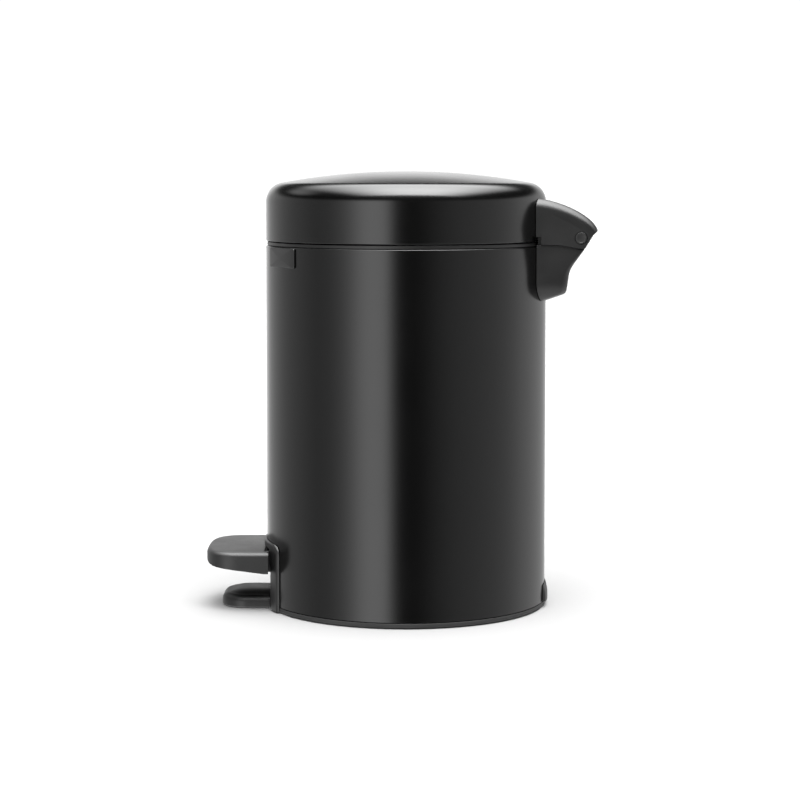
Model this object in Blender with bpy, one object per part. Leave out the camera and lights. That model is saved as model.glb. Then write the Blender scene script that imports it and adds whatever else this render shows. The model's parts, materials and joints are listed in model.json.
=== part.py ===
"""A 3 litre pedal bin: steel body and lid, plastic fittings, and a pedal that lifts the lid by a push rod.

Metres, +Z up. The origin is on the floor on the body's axis, the pedal points to -Y and the hinge to +Y.
Run with blender --background --python part.py, or from Blender's text editor.
"""

import math

import bmesh
import bpy
from mathutils import Vector

MM = 0.001

# Shared clearance and fineness
GAP = 0.3 * MM
ROUND_STEPS = 48
PIN_STEPS = 16
SCREW_STEPS = 12
SIDES = ((-1, "left"), (1, "right"))
OFF_AXIS = 0.31  # turns a bar's edges off the mirror planes, where cuts would meet edge on edge

# Steel body
BODY_RADIUS = 86.0 * MM
SHEET = 0.8 * MM
SHELL_BOTTOM = 4.0 * MM
SHELL_HEIGHT = 218.0 * MM
BEAD_RADIUS = 1.6 * MM

# Lid
LID_SEAM = 0.6 * MM
LID_SKIRT = 23.5 * MM
LID_SHOULDER = 12.0 * MM
LID_DOME_RADIUS = 420.0 * MM
LID_HEM = 3.0 * MM
LINER_INSET = 1.9 * MM
LINER_WALL = 1.6 * MM
LINER_RAISE = 1.2 * MM
BUFFER_ANGLES = (150.0, 270.0, 30.0)
BUFFER_SPAN = 8.0

# Ring between body and lid
RING_SHOW = 2.1 * MM
RING_RECESS = 0.8 * MM
RING_WALL = 1.6 * MM
RING_LEDGE = 3.4 * MM
LEDGE_THICKNESS = 2.0 * MM
LEDGE_DROP = 4.0 * MM

# Blank badge below the ring, angles from +X
BADGE_ANGLES = (-71.1, -49.8)
BADGE_HEIGHT = 11.7 * MM
BADGE_THICKNESS = 0.8 * MM
BADGE_DROP = 0.5 * MM

# Bucket and bail
BUCKET_WALL = 1.4 * MM
BUCKET_FLOOR = 46.0 * MM
BUCKET_TAPER = 6.0 * MM
BUCKET_FLOOR_ROUND = 6.0 * MM
BUCKET_PLAY = 1.9 * MM
RIM_THICKNESS = 1.5 * MM
RIM_PLAY = 1.2 * MM
BAIL_WIRE = 1.25 * MM
BAIL_BEND = 1.6 * MM
BAIL_PLAY = 1.6 * MM
EAR_THICKNESS = 2.0 * MM
BAIL_EAR_GAP = 0.3 * MM
EAR_HALF_WIDTH = 3.6 * MM
EAR_ABOVE_HOLE = 3.0 * MM

# Base tray, floor ring and rear tab
FLOOR_RING_HEIGHT = 3.4 * MM
FLOOR_RING_WIDTH = 6.0 * MM
FLOOR_RING_ROUND = 0.8 * MM
TRAY_FLOOR = 2.5 * MM
TRAY_WALL = 1.8 * MM
TRAY_UPSTAND = 16.0 * MM
TRAY_SHELF = 1.7 * MM
REAR_TAB_HALF_WIDTH = 20.0 * MM
REAR_TAB_TOP = 14.0 * MM
REAR_TAB_PROUD = 1.9 * MM

# Doorway in the front and the arch around it
DOOR_HALF_WIDTH = 28.5 * MM
DOOR_TOP = 37.4 * MM
DOOR_ROUND = 4.0 * MM
FRAME_BAND = 11.0 * MM
FRAME_BAND_TOP = 4.0 * MM
FRAME_ROUND = 6.0 * MM
FRAME_PROUD = 1.4 * MM
FRAME_COLLAR = 1.2 * MM
FRAME_COLLAR_DEPTH = 3.2 * MM

# Stabiliser foot
FOOT_HALF_WIDTH = 22.5 * MM
FOOT_REACH = 27.5 * MM
FOOT_BOTTOM = 0.5 * MM
FOOT_TOP = 10.0 * MM
FOOT_ROUND = 4.5 * MM
FOOT_CORNER = 16.0 * MM
FOOT_TONGUE = 16.0 * MM

# Pedal
PAD_HALF_WIDTH = 35.0 * MM
PAD_REACH = 36.8 * MM
PAD_TOP = 36.4 * MM
PAD_BOTTOM = 23.4 * MM
PAD_RISE = 4.4 * MM
PAD_CORNER = 13.0 * MM
PAD_ROUND = 1.8 * MM
PAD_TIP_ROUND = 7.0 * MM
PAD_BEHIND_GAP = 3.0 * MM
NECK_PLAY = 1.5 * MM
NECK_END_INSET = 16.0 * MM
AXLE_INSET = 31.0 * MM
AXLE_HEIGHT = 24.0 * MM
AXLE_RADIUS = 3.0 * MM
HUB_RADIUS = 5.0 * MM
BOSS_HALF_SPAN = 31.0 * MM
BOSS_THICKNESS = 4.0 * MM
BOSS_HALF_DEPTH = 7.0 * MM
CLIP_THICKNESS = 1.4 * MM
LEVER_HALF_WIDTH = 8.0 * MM
LEVER_THICKNESS = 2.5 * MM
PEDAL_SCREW_RADIUS = 1.7 * MM
PEDAL_SCREW_INSET = 5.0 * MM
PEDAL_SCREW_SPREAD = 4.5 * MM
SCREW_HEAD = 1.5 * MM
SCREW_HEAD_HEIGHT = 2.0 * MM

# Hinge, its pin and the crank that the rod pushes
PIN_OFFSET = 18.9 * MM
PIN_ABOVE_SEAM = 2.2 * MM
PIN_RADIUS = 2.0 * MM
PIN_CAP_RADIUS = 3.6 * MM
PIN_CAP_THICKNESS = 2.0 * MM
COVER_HALF_WIDTH = 37.5 * MM
BASE_HALF_WIDTH = 36.5 * MM
EAR_WALL = 3.8 * MM
COVER_ROOF = 2.4 * MM
COVER_ROUND = 3.0 * MM
COVER_UNDERSIDE = 3.7 * MM
COVER_CAVITY_FRONT = 11.4 * MM
EAR_BOSS_RADIUS = 6.5 * MM
BARREL_RADIUS = 5.6 * MM
BASE_CORNER = 13.0 * MM
SLOT_HALF_WIDTH = 5.0 * MM
CRANK_HALF_WIDTH = 4.6 * MM
CRANK_LENGTH = 21.0 * MM
CRANK_HUB = 5.2 * MM
CRANK_TIP = 4.0 * MM
CRANK_ARM = 1.8 * MM
CRANK_PLAY = 0.9 * MM
CRANK_KEY_FRONT = 8.0 * MM
CRANK_KEY_BACK = 2.0 * MM
LID_ANGLE = math.radians(82.0)
SCREW_RADIUS = 1.7 * MM
SCREW_DEPTH = 6.0 * MM
HINGE_SCREW_ANGLE = 12.0
HINGE_SCREW_DROPS = (18.5 * MM, 30.5 * MM)
HINGE_PLATE_ANGLES = (6.0, 19.0)
HINGE_PLATE = 1.6 * MM
LID_SCREW_ANGLE = 16.0
LID_SCREW_HEIGHT = 12.0 * MM

# Push rod
ROD_RADIUS = 1.6 * MM
ROD_WALL_GAP = 1.6 * MM
ROD_CONTACT_INSET = 2.9 * MM
ROD_FOOT_RADIUS = 3.0 * MM
ROD_FOOT_HALF_WIDTH = 4.0 * MM
ROD_PLAY = 0.5 * MM
SHOE_HALF_WIDTH = 4.0 * MM
SHOE_THICKNESS = 3.0 * MM
SHOE_OVERRUN = 1.4 * MM
GUIDE_HALF_WIDTH = 5.0 * MM
GUIDE_DEPTH = 6.4 * MM
GUIDE_HEIGHT = 6.0 * MM
GUIDE_CLEAR = 3.0 * MM
ROD_FOOT_HEIGHT = 10.0 * MM

# Worked out from the above
SHELL_TOP = SHELL_BOTTOM + SHELL_HEIGHT
SHELL_INNER = BODY_RADIUS - SHEET
BEAD_INNER = BODY_RADIUS - 2 * BEAD_RADIUS
RING_BOTTOM = SHELL_TOP + GAP
RING_TOP = RING_BOTTOM + RING_SHOW
LID_BOTTOM = RING_TOP + LID_SEAM
HINGE_Y = BODY_RADIUS + PIN_OFFSET
HINGE_Z = LID_BOTTOM + PIN_ABOVE_SEAM
RING_SKIRT_OUTER = BEAD_INNER - GAP
RING_SKIRT_INNER = RING_SKIRT_OUTER - RING_WALL
LEDGE_INNER = RING_SKIRT_INNER - RING_LEDGE
LEDGE_TOP = SHELL_TOP - LEDGE_DROP
RIM_BOTTOM = LEDGE_TOP + GAP
RIM_TOP = RIM_BOTTOM + RIM_THICKNESS
RIM_RADIUS = RING_SKIRT_INNER - RIM_PLAY
BUCKET_RADIUS = LEDGE_INNER - BUCKET_PLAY
NECK_HALF_WIDTH = DOOR_HALF_WIDTH - NECK_PLAY
BAIL_RADIUS = RIM_RADIUS - BAIL_PLAY - BAIL_WIRE
BAIL_Z = RIM_TOP + GAP + BAIL_WIRE
LINER_OUTER = BODY_RADIUS - LINER_INSET
LINER_BOTTOM = LID_BOTTOM + LINER_RAISE
TRAY_RIM = FLOOR_RING_HEIGHT + GAP
TRAY_SHELF_TOP = TRAY_RIM + TRAY_SHELF
TRAY_OUTER = SHELL_INNER - GAP
FLOOR_RING_INNER = BODY_RADIUS - FLOOR_RING_WIDTH
FITTING_RADIUS = BODY_RADIUS + GAP
AXLE_Y = -(BODY_RADIUS - AXLE_INSET)
ROD_Y = SHELL_INNER - ROD_WALL_GAP - ROD_RADIUS
ROD_TRAVEL = 2 * CRANK_LENGTH * math.sin(LID_ANGLE / 2)
LEVER_REACH = ROD_Y - ROD_CONTACT_INSET - AXLE_Y
PEDAL_ANGLE = 2 * math.asin(ROD_TRAVEL / 2 / LEVER_REACH)
CRANK_TIP_Y = HINGE_Y - CRANK_LENGTH * math.cos(LID_ANGLE / 2)
CRANK_TIP_Z = HINGE_Z - ROD_TRAVEL / 2
SHOE_TOP = CRANK_TIP_Z - CRANK_TIP - CRANK_PLAY
SHOE_BOTTOM = SHOE_TOP - SHOE_THICKNESS
ROD_FOOT_Z = (
    AXLE_HEIGHT
    - LEVER_REACH * math.tan(PEDAL_ANGLE / 2)
    + (ROD_FOOT_RADIUS + LEVER_THICKNESS / 2) / math.cos(PEDAL_ANGLE / 2)
    + ROD_PLAY
)
WINDOW_HALF_WIDTH = SLOT_HALF_WIDTH + 1.0 * MM
WINDOW_BOTTOM = SHOE_BOTTOM - 2.0 * MM

# Hinge outlines seen from the side, from the pin: back to front, then up
COVER_NOSE = (10.3 * MM, 4.8 * MM)
COVER_START = (-25.6 * MM, 23.7 * MM)
COVER_HANDLES = ((-12.0 * MM, 22.5 * MM), (7.5 * MM, 13.5 * MM))
COVER_LIP = (8.0 * MM, 3.1 * MM)
GRIP_SHOULDER = (1.2 * MM, -8.1 * MM)
GRIP_HANDLES = ((-3.7 * MM, -15.3 * MM), (-6.3 * MM, -17.5 * MM))
GRIP_WAIST = (-7.0 * MM, -23.0 * MM)
GRIP_TOE = (-8.3 * MM, -32.3 * MM)
GRIP_HEEL = (-9.6 * MM, -33.9 * MM)
GRIP_SLOPE = 0.377
BASE_DEPTH = 40.2 * MM
SLOT_OUTLINE = ((-11.5, -24.5), (-9.2, -18.5), (-4.8, -13.0), (-1.5, -7.5), (12.0, -7.5), (12.0, 12.0))

FINISHES = {
    "satin_black_steel": ((0.018, 0.018, 0.019), 0.34, 0.55),
    "bright_steel": ((0.55, 0.55, 0.56), 0.32, 1.0),
    "black_plastic": ((0.028, 0.028, 0.029), 0.55, 0.0),
    "grey_plastic": ((0.16, 0.16, 0.165), 0.5, 0.0),
    "soft_black": ((0.02, 0.02, 0.02), 0.8, 0.0),
}


# ---------------------------------------------------------------- helpers


def clear_scene():
    for thing in list(bpy.data.objects):
        bpy.data.objects.remove(thing, do_unlink=True)


def finish(name):
    """The Principled material of this name, made on first use."""
    found = bpy.data.materials.get(name)
    if found:
        return found
    colour, roughness, metallic = FINISHES[name]
    found = bpy.data.materials.new(name)
    found.use_nodes = True
    shader = found.node_tree.nodes["Principled BSDF"]
    shader.inputs["Base Color"].default_value = (*colour, 1)
    shader.inputs["Roughness"].default_value = roughness
    shader.inputs["Metallic"].default_value = metallic
    return found


def pivot(name, location):
    """An empty on a joint's axis, which carries the pieces that move about it."""
    empty = bpy.data.objects.new(name, None)
    empty.location = location
    empty.empty_display_size = 0.02
    bpy.context.scene.collection.objects.link(empty)
    bpy.context.view_layer.update()
    return empty


def carry(piece, carrier):
    piece.parent = carrier
    piece.matrix_parent_inverse = carrier.matrix_world.inverted()
    return piece


def piece_from(name, points, faces, look):
    mesh = bpy.data.meshes.new(name)
    mesh.from_pydata([tuple(point) for point in points], [], faces)
    shape = bmesh.new()
    shape.from_mesh(mesh)
    bmesh.ops.recalc_face_normals(shape, faces=shape.faces)
    shape.to_mesh(mesh)
    shape.free()
    mesh.shade_smooth()
    mesh.set_sharp_from_angle(angle=math.radians(30))
    mesh.materials.append(finish(look))
    made = bpy.data.objects.new(name, mesh)
    bpy.context.scene.collection.objects.link(made)
    return made


def revolve(name, profile, look):
    """Turns a closed (radius, height) outline about Z. A point at radius 0 becomes a pole."""
    points, rings = [], []
    for radius, height in profile:
        if radius == 0:
            rings.append([len(points)])
            points.append((0, 0, height))
            continue
        rings.append(list(range(len(points), len(points) + ROUND_STEPS)))
        for step in range(ROUND_STEPS):
            angle = math.tau * step / ROUND_STEPS
            points.append((radius * math.cos(angle), radius * math.sin(angle), height))
    faces = []
    for low, high in zip(rings, rings[1:] + rings[:1]):
        if len(low) == len(high) == 1:
            continue
        for step in range(ROUND_STEPS):
            after = (step + 1) % ROUND_STEPS
            corners = [low[step % len(low)], low[after % len(low)]]
            corners += [high[after % len(high)], high[step % len(high)]]
            faces.append(list(dict.fromkeys(corners)))
    return piece_from(name, points, faces, look)


def loft(name, loops, look):
    """Skins loops of equal length, and closes both ends."""
    count = len(loops[0])
    points = [point for loop in loops for point in loop]
    faces = [list(range(count)), list(range(len(points) - count, len(points)))]
    for layer in range(len(loops) - 1):
        for step in range(count):
            near = layer * count + step
            beside = layer * count + (step + 1) % count
            faces.append([near, beside, beside + count, near + count])
    return piece_from(name, points, faces, look)


def prism(name, outline, axis, low, high, look="black_plastic"):
    """Extrudes an outline along X, Y or Z. Its two numbers are the other axes, in alphabetical order."""

    def place(first, second, along):
        spots = {"X": (along, first, second), "Y": (first, along, second), "Z": (first, second, along)}
        return spots[axis]

    return loft(name, [[place(a, b, level) for a, b in outline] for level in (low, high)], look)


def box(name, low, high, look="black_plastic"):
    outline = [(low[0], low[1]), (high[0], low[1]), (high[0], high[1]), (low[0], high[1])]
    return prism(name, outline, "Z", low[2], high[2], look)


def rod(name, start, end, radius, look="black_plastic", steps=PIN_STEPS):
    """A round bar between two points."""
    start, end = Vector(start), Vector(end)
    along = (end - start).normalized()
    side = along.orthogonal().normalized()
    up = along.cross(side)
    turns = [math.tau * (step + OFF_AXIS) / steps for step in range(steps)]
    circle = [side * math.cos(turn) * radius + up * math.sin(turn) * radius for turn in turns]
    return loft(name, [[centre + offset for offset in circle] for centre in (start, end)], look)


def sector(name, radii, heights, angles, look="black_plastic", steps=8):
    """A curved block between two radii, two heights and two angles from +X in degrees."""
    loops = []
    for step in range(steps + 1):
        angle = math.radians(angles[0] + (angles[1] - angles[0]) * step / steps)
        corners = [(radii[0], heights[0]), (radii[1], heights[0])]
        corners += [(radii[1], heights[1]), (radii[0], heights[1])]
        loops.append([(r * math.cos(angle), r * math.sin(angle), z) for r, z in corners])
    return loft(name, loops, look)


def combine(target, operation, tool):
    """Adds an exact Boolean, and hides its tool."""
    tool.hide_render = True
    tool.display_type = "WIRE"
    modifier = target.modifiers.new(f"{operation.lower()}_{tool.name}", "BOOLEAN")
    modifier.operation = operation
    modifier.solver = "EXACT"
    modifier.object = tool
    return target


def cut(target, tool):
    return combine(target, "DIFFERENCE", tool)


def join(target, tool):
    return combine(target, "UNION", tool)


def keep(target, tool):
    return combine(target, "INTERSECT", tool)


def arc(centre, radius, start, end, steps):
    """Points on an arc, angles in degrees, both ends included."""
    turns = [math.radians(start + (end - start) * step / steps) for step in range(steps + 1)]
    return [(centre[0] + radius * math.cos(turn), centre[1] + radius * math.sin(turn)) for turn in turns]


def bezier(start, handle_a, handle_b, end, steps):
    points = []
    for step in range(steps + 1):
        t = step / steps
        weights = ((1 - t) ** 3, 3 * t * (1 - t) ** 2, 3 * t * t * (1 - t), t**3)
        points.append(
            tuple(
                sum(weight * spot[axis] for weight, spot in zip(weights, (start, handle_a, handle_b, end)))
                for axis in range(2)
            )
        )
    return points


def bar_outline(near, far, half_width):
    """The four corners of a straight bar between two points."""
    across, up = far[0] - near[0], far[1] - near[1]
    length = math.hypot(across, up)
    side = (-up / length * half_width, across / length * half_width)
    corners = ((near, 1), (near, -1), (far, -1), (far, 1))
    return [(spot[0] + turn * side[0], spot[1] + turn * side[1]) for spot, turn in corners]


def arch_outline(half_width, top, bottom, radius):
    """A doorway outline in X and Z: square at the foot, round at its two top corners."""
    right = arc((half_width - radius, top - radius), radius, 0, 90, 5)
    left = arc((radius - half_width, top - radius), radius, 90, 180, 5)
    return [(half_width, bottom)] + right + left + [(-half_width, bottom)]


def polar(radius, angle_from_rear, height):
    """A point at this radius, at an angle in degrees from +Y towards +X."""
    turn = math.radians(angle_from_rear)
    return (radius * math.sin(turn), radius * math.cos(turn), height)


def from_pin(points):
    return [(HINGE_Y + y, HINGE_Z + z) for y, z in points]


def radial_screw(name, angle, height, head_radius_at, look="bright_steel", depth=SCREW_DEPTH):
    """A screw that points outwards from the axis, its head on the inside."""
    ends = [polar(radius, angle, height) for radius in (head_radius_at - GAP, BODY_RADIUS + depth)]
    shank = rod(name, *ends, SCREW_RADIUS, look, SCREW_STEPS)
    ends = [polar(radius, angle, height) for radius in (head_radius_at - SCREW_HEAD_HEIGHT, head_radius_at)]
    return join(shank, rod(f"head_of_{name}", *ends, SCREW_RADIUS + SCREW_HEAD, look, SCREW_STEPS))


def radial_hole(name, angle, height, inner, depth=SCREW_DEPTH):
    ends = [polar(radius, angle, height) for radius in (inner, BODY_RADIUS + depth + GAP)]
    return rod(name, *ends, SCREW_RADIUS + GAP, steps=SCREW_STEPS)


def hinge_screw_places():
    places = [(side, drop) for drop in HINGE_SCREW_DROPS for side in (-1, 1)]
    return [
        (side * HINGE_SCREW_ANGLE, HINGE_Z - drop, str(number))
        for number, (side, drop) in enumerate(places, 1)
    ]


def lid_screw_places():
    height = LID_BOTTOM + LID_SCREW_HEIGHT
    return [(side * LID_SCREW_ANGLE, height, name) for side, name in SIDES]


# ---------------------------------------------------------------- body


def body_shell():
    bead = (BODY_RADIUS - BEAD_RADIUS, SHELL_TOP - BEAD_RADIUS)
    meets_wall = -math.degrees(math.acos((SHELL_INNER - bead[0]) / BEAD_RADIUS))
    profile = [(BODY_RADIUS, SHELL_BOTTOM), (SHELL_INNER, SHELL_BOTTOM)]
    profile += arc(bead, BEAD_RADIUS, meets_wall, -360, 8)
    shell = revolve("body_shell", profile, "satin_black_steel")
    wider = FRAME_COLLAR + GAP
    door = arch_outline(DOOR_HALF_WIDTH + wider, DOOR_TOP + wider, 0, DOOR_ROUND + wider)
    cut(shell, prism("cut_shell_door", door, "Y", -2 * BODY_RADIUS, 0))
    window_low = (-WINDOW_HALF_WIDTH, 0, WINDOW_BOTTOM)
    window_high = (WINDOW_HALF_WIDTH, 2 * BODY_RADIUS, SHELL_TOP + BEAD_RADIUS)
    cut(shell, box("cut_shell_window", window_low, window_high))
    for angle, height, name in hinge_screw_places():
        cut(shell, radial_hole(f"cut_shell_{name}", angle, height, RING_SKIRT_INNER))
    return shell


def top_ring():
    edge = 0.4 * MM
    profile = arc((BODY_RADIUS - RING_RECESS - edge, RING_TOP - edge), edge, 0, 90, 3)
    profile += [(RING_SKIRT_INNER, RING_TOP), (RING_SKIRT_INNER, LEDGE_TOP), (LEDGE_INNER, LEDGE_TOP)]
    profile += [(LEDGE_INNER, LEDGE_TOP - LEDGE_THICKNESS), (RING_SKIRT_OUTER, LEDGE_TOP - LEDGE_THICKNESS)]
    profile += [(RING_SKIRT_OUTER, RING_BOTTOM), (BODY_RADIUS - RING_RECESS, RING_BOTTOM)]
    ring = revolve("top_ring", profile, "black_plastic")
    notch_low = (-WINDOW_HALF_WIDTH, RIM_RADIUS + GAP, LEDGE_TOP - 2 * LEDGE_THICKNESS)
    return cut(ring, box("cut_ring_notch", notch_low, (WINDOW_HALF_WIDTH, 2 * BODY_RADIUS, LID_BOTTOM)))


def badge():
    top = SHELL_TOP - BADGE_DROP
    radii = (FITTING_RADIUS, FITTING_RADIUS + BADGE_THICKNESS)
    return sector("badge", radii, (top - BADGE_HEIGHT, top), BADGE_ANGLES, "black_plastic", 6)


def base_tray():
    riser = FLOOR_RING_INNER - GAP
    inner = TRAY_OUTER - TRAY_WALL
    top = TRAY_RIM + TRAY_UPSTAND
    profile = [(0, 0), (riser, 0), (riser, TRAY_RIM), (TRAY_OUTER, TRAY_RIM), (TRAY_OUTER, top)]
    profile += [(inner, top), (inner, TRAY_SHELF_TOP), (riser - TRAY_WALL, TRAY_SHELF_TOP)]
    profile += [(riser - TRAY_WALL, TRAY_FLOOR), (0, TRAY_FLOOR)]
    tray = revolve("base_tray", profile, "grey_plastic")
    door_side = DOOR_HALF_WIDTH + FRAME_COLLAR + GAP
    above = TRAY_RIM + 2 * TRAY_UPSTAND
    door_low = (-door_side, -2 * BODY_RADIUS, TRAY_SHELF_TOP)
    cut(tray, box("cut_tray_door", door_low, (door_side, AXLE_Y, above)))
    rod_side = ROD_FOOT_HALF_WIDTH + 1.5 * MM
    rod_low = (-rod_side, 0, TRAY_SHELF_TOP + GAP)
    cut(tray, box("cut_tray_rod", rod_low, (rod_side, 2 * BODY_RADIUS, above)))
    for side, name in SIDES:
        outline = [(AXLE_Y - BOSS_HALF_DEPTH, TRAY_FLOOR / 2), (AXLE_Y + BOSS_HALF_DEPTH, TRAY_FLOOR / 2)]
        outline += arc((AXLE_Y, AXLE_HEIGHT), BOSS_HALF_DEPTH, 0, 180, 10)
        middle = side * BOSS_HALF_SPAN
        faces = (middle - BOSS_THICKNESS / 2, middle + BOSS_THICKNESS / 2)
        join(tray, prism(f"boss_{name}", outline, "X", *faces))
    ends = [(side * 2 * BOSS_HALF_SPAN, AXLE_Y, AXLE_HEIGHT) for side in (-1, 1)]
    return cut(tray, rod("cut_tray_axle", *ends, AXLE_RADIUS + GAP))


def floor_ring():
    outer = BODY_RADIUS
    profile = [(FLOOR_RING_INNER, 0)]
    profile += arc((outer - FLOOR_RING_ROUND, FLOOR_RING_ROUND), FLOOR_RING_ROUND, -90, 0, 3)
    profile += [(outer, FLOOR_RING_HEIGHT), (FLOOR_RING_INNER, FLOOR_RING_HEIGHT)]
    return revolve("floor_ring", profile, "soft_black")


def rear_tab():
    """A wedge against the shell: full thickness up to half its height, then thinning to its top edge."""
    span = math.degrees(math.asin(REAR_TAB_HALF_WIDTH / BODY_RADIUS))
    middle = (TRAY_RIM + REAR_TAB_TOP) / 2
    outer = BODY_RADIUS + REAR_TAB_PROUD
    loops = []
    for step in range(9):
        angle = math.radians(90 - span + 2 * span * step / 8)
        corners = [(FITTING_RADIUS, TRAY_RIM), (outer, TRAY_RIM), (outer, middle)]
        corners += [(FITTING_RADIUS + 0.5 * MM, REAR_TAB_TOP), (FITTING_RADIUS, REAR_TAB_TOP)]
        loops.append([(r * math.cos(angle), r * math.sin(angle), z) for r, z in corners])
    return loft("rear_tab", loops, "black_plastic")


def pedal_frame():
    """A curved arch on the shell, with a collar that lines the doorway through it."""
    outer = FITTING_RADIUS + FRAME_PROUD
    above = DOOR_TOP + FRAME_BAND_TOP + FRAME_ROUND
    tube = [(FITTING_RADIUS, TRAY_RIM), (outer, TRAY_RIM), (outer, above), (FITTING_RADIUS, above)]
    frame = revolve("pedal_frame", tube, "black_plastic")
    face = arch_outline(DOOR_HALF_WIDTH + FRAME_BAND, DOOR_TOP + FRAME_BAND_TOP, 0, FRAME_ROUND)
    keep(frame, prism("keep_frame_face", face, "Y", -2 * BODY_RADIUS, 0))
    collar_inner = SHELL_INNER - FRAME_COLLAR_DEPTH
    collar_outer = (FITTING_RADIUS + outer) / 2
    low = TRAY_SHELF_TOP + GAP
    tube = [(collar_inner, low), (collar_outer, low), (collar_outer, above), (collar_inner, above)]
    collar = revolve("frame_collar", tube, "black_plastic")
    wider = FRAME_COLLAR
    edge = arch_outline(DOOR_HALF_WIDTH + wider, DOOR_TOP + wider, 0, DOOR_ROUND + wider)
    keep(collar, prism("keep_frame_collar", edge, "Y", -2 * BODY_RADIUS, 0))
    join(frame, collar)
    door = arch_outline(DOOR_HALF_WIDTH, DOOR_TOP, -DOOR_TOP, DOOR_ROUND)
    return cut(frame, prism("cut_frame_door", door, "Y", -2 * BODY_RADIUS, 0))


def front_foot():
    """A low tongue with a round front and a rounded top edge, on the tray's shelf behind the doorway."""
    front = -(BODY_RADIUS + FOOT_REACH)
    back = -(BODY_RADIUS - FOOT_TONGUE)

    def outline(inset):
        radius = FOOT_CORNER - inset
        half = FOOT_HALF_WIDTH - inset
        middle = front + FOOT_CORNER
        points = [(-half, back), *arc((-half + radius, middle), radius, 180, 270, 6)]
        return points + [*arc((half - radius, middle), radius, 270, 360, 6), (half, back)]

    bevel = 1.2 * MM
    layers = [(FOOT_BOTTOM, bevel), (FOOT_BOTTOM + bevel, 0)]
    layers += [
        (FOOT_TOP - FOOT_ROUND * (1 - math.sin(turn)), FOOT_ROUND * (1 - math.cos(turn)))
        for turn in (math.radians(15 * step) for step in range(7))
    ]
    loops = [[(x, y, height) for x, y in outline(inset)] for height, inset in layers]
    foot = loft("front_foot", loops, "black_plastic")
    seat = TRAY_SHELF_TOP + GAP
    under = [(0, -seat), (FITTING_RADIUS, -seat), (FITTING_RADIUS, seat), (0, seat)]
    cut(foot, revolve("cut_foot_seat", under, "black_plastic"))
    for x, y, name in foot_screw_places():
        top = FOOT_TOP + SCREW_HEAD_HEIGHT
        cut(foot, rod(f"cut_foot_{name}", (x, y, 0), (x, y, top), SCREW_RADIUS + GAP, steps=SCREW_STEPS))
    return foot


def foot_screw_places():
    """Screws over the tray's shelf, just inside the floor ring."""
    radius, across = FLOOR_RING_INNER + SCREW_RADIUS, FOOT_HALF_WIDTH / 2
    place = -math.sqrt(radius**2 - across**2)
    return [(side * across, place, name) for side, name in SIDES]


def upright_screw(name, x, y, tip, seat, look="bright_steel"):
    """A screw along Z from its tip to the face that its head sits on, whichever of the two is higher."""
    side = math.copysign(1, seat - tip)
    shank = rod(name, (x, y, tip), (x, y, seat + side * 2 * GAP), SCREW_RADIUS, look, SCREW_STEPS)
    ends = [(x, y, seat + side * GAP), (x, y, seat + side * (GAP + SCREW_HEAD_HEIGHT))]
    return join(shank, rod(f"head_of_{name}", *ends, SCREW_RADIUS + SCREW_HEAD, look, SCREW_STEPS))


def axle_and_clips():
    half = BOSS_HALF_SPAN + BOSS_THICKNESS / 2 + 2 * CLIP_THICKNESS + GAP
    ends = [(-half, AXLE_Y, AXLE_HEIGHT), (half, AXLE_Y, AXLE_HEIGHT)]
    made = [rod("pedal_axle", *ends, AXLE_RADIUS, "bright_steel")]
    for side, name in SIDES:
        near = side * (BOSS_HALF_SPAN + BOSS_THICKNESS / 2 + GAP)
        far = near + side * CLIP_THICKNESS
        ends = [(near, AXLE_Y, AXLE_HEIGHT), (far, AXLE_Y, AXLE_HEIGHT)]
        clip = rod(f"axle_clip_{name}", *ends, AXLE_RADIUS + 2.4 * MM, "bright_steel")
        hole = [(near - side * MM, AXLE_Y, AXLE_HEIGHT), (far + side * MM, AXLE_Y, AXLE_HEIGHT)]
        made.append(cut(clip, rod(f"cut_clip_{name}", *hole, AXLE_RADIUS + GAP)))
    return made


def rod_guides():
    """Two eyes on the inside of the shell that keep the push rod upright."""
    half_angle = math.degrees(math.asin(GUIDE_HALF_WIDTH / TRAY_OUTER))
    bottoms = (
        ("lower", ROD_FOOT_Z + ROD_FOOT_HEIGHT + ROD_TRAVEL + GUIDE_CLEAR),
        ("upper", SHOE_BOTTOM - GUIDE_CLEAR - GUIDE_HEIGHT),
    )
    made = []
    for name, bottom in bottoms:
        radii, heights = (TRAY_OUTER - GUIDE_DEPTH, TRAY_OUTER), (bottom, bottom + GUIDE_HEIGHT)
        angles = (90 - half_angle, 90 + half_angle)
        eye = sector(f"rod_guide_{name}", radii, heights, angles, "grey_plastic", 2)
        ends = [(0, ROD_Y, bottom - GUIDE_HEIGHT), (0, ROD_Y, bottom + 2 * GUIDE_HEIGHT)]
        made.append(cut(eye, rod(f"cut_guide_{name}", *ends, ROD_RADIUS + GAP)))
    return made


# ---------------------------------------------------------------- hinge


def behind_chord(half_width):
    """How far behind the pin the body's face lies at this half width, and a little further in."""
    return math.sqrt(BODY_RADIUS**2 - half_width**2) - 2.0 * MM - HINGE_Y


def along_pin(name, start, end, radius, look="black_plastic", steps=PIN_STEPS):
    return rod(name, (start, HINGE_Y, HINGE_Z), (end, HINGE_Y, HINGE_Z), radius, look, steps)


def inward(points, distance):
    """Moves a curve that runs towards the nose to its lower side by this distance."""
    moved = []
    for place, point in enumerate(points):
        before, after = points[max(place - 1, 0)], points[min(place + 1, len(points) - 1)]
        run, rise = after[0] - before[0], after[1] - before[1]
        length = math.hypot(run, rise)
        moved.append((point[0] + distance * rise / length, point[1] - distance * run / length))
    return moved


def cover_top(inset, steps=10):
    return inward(bezier(COVER_START, *COVER_HANDLES, COVER_NOSE, steps), inset)


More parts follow.
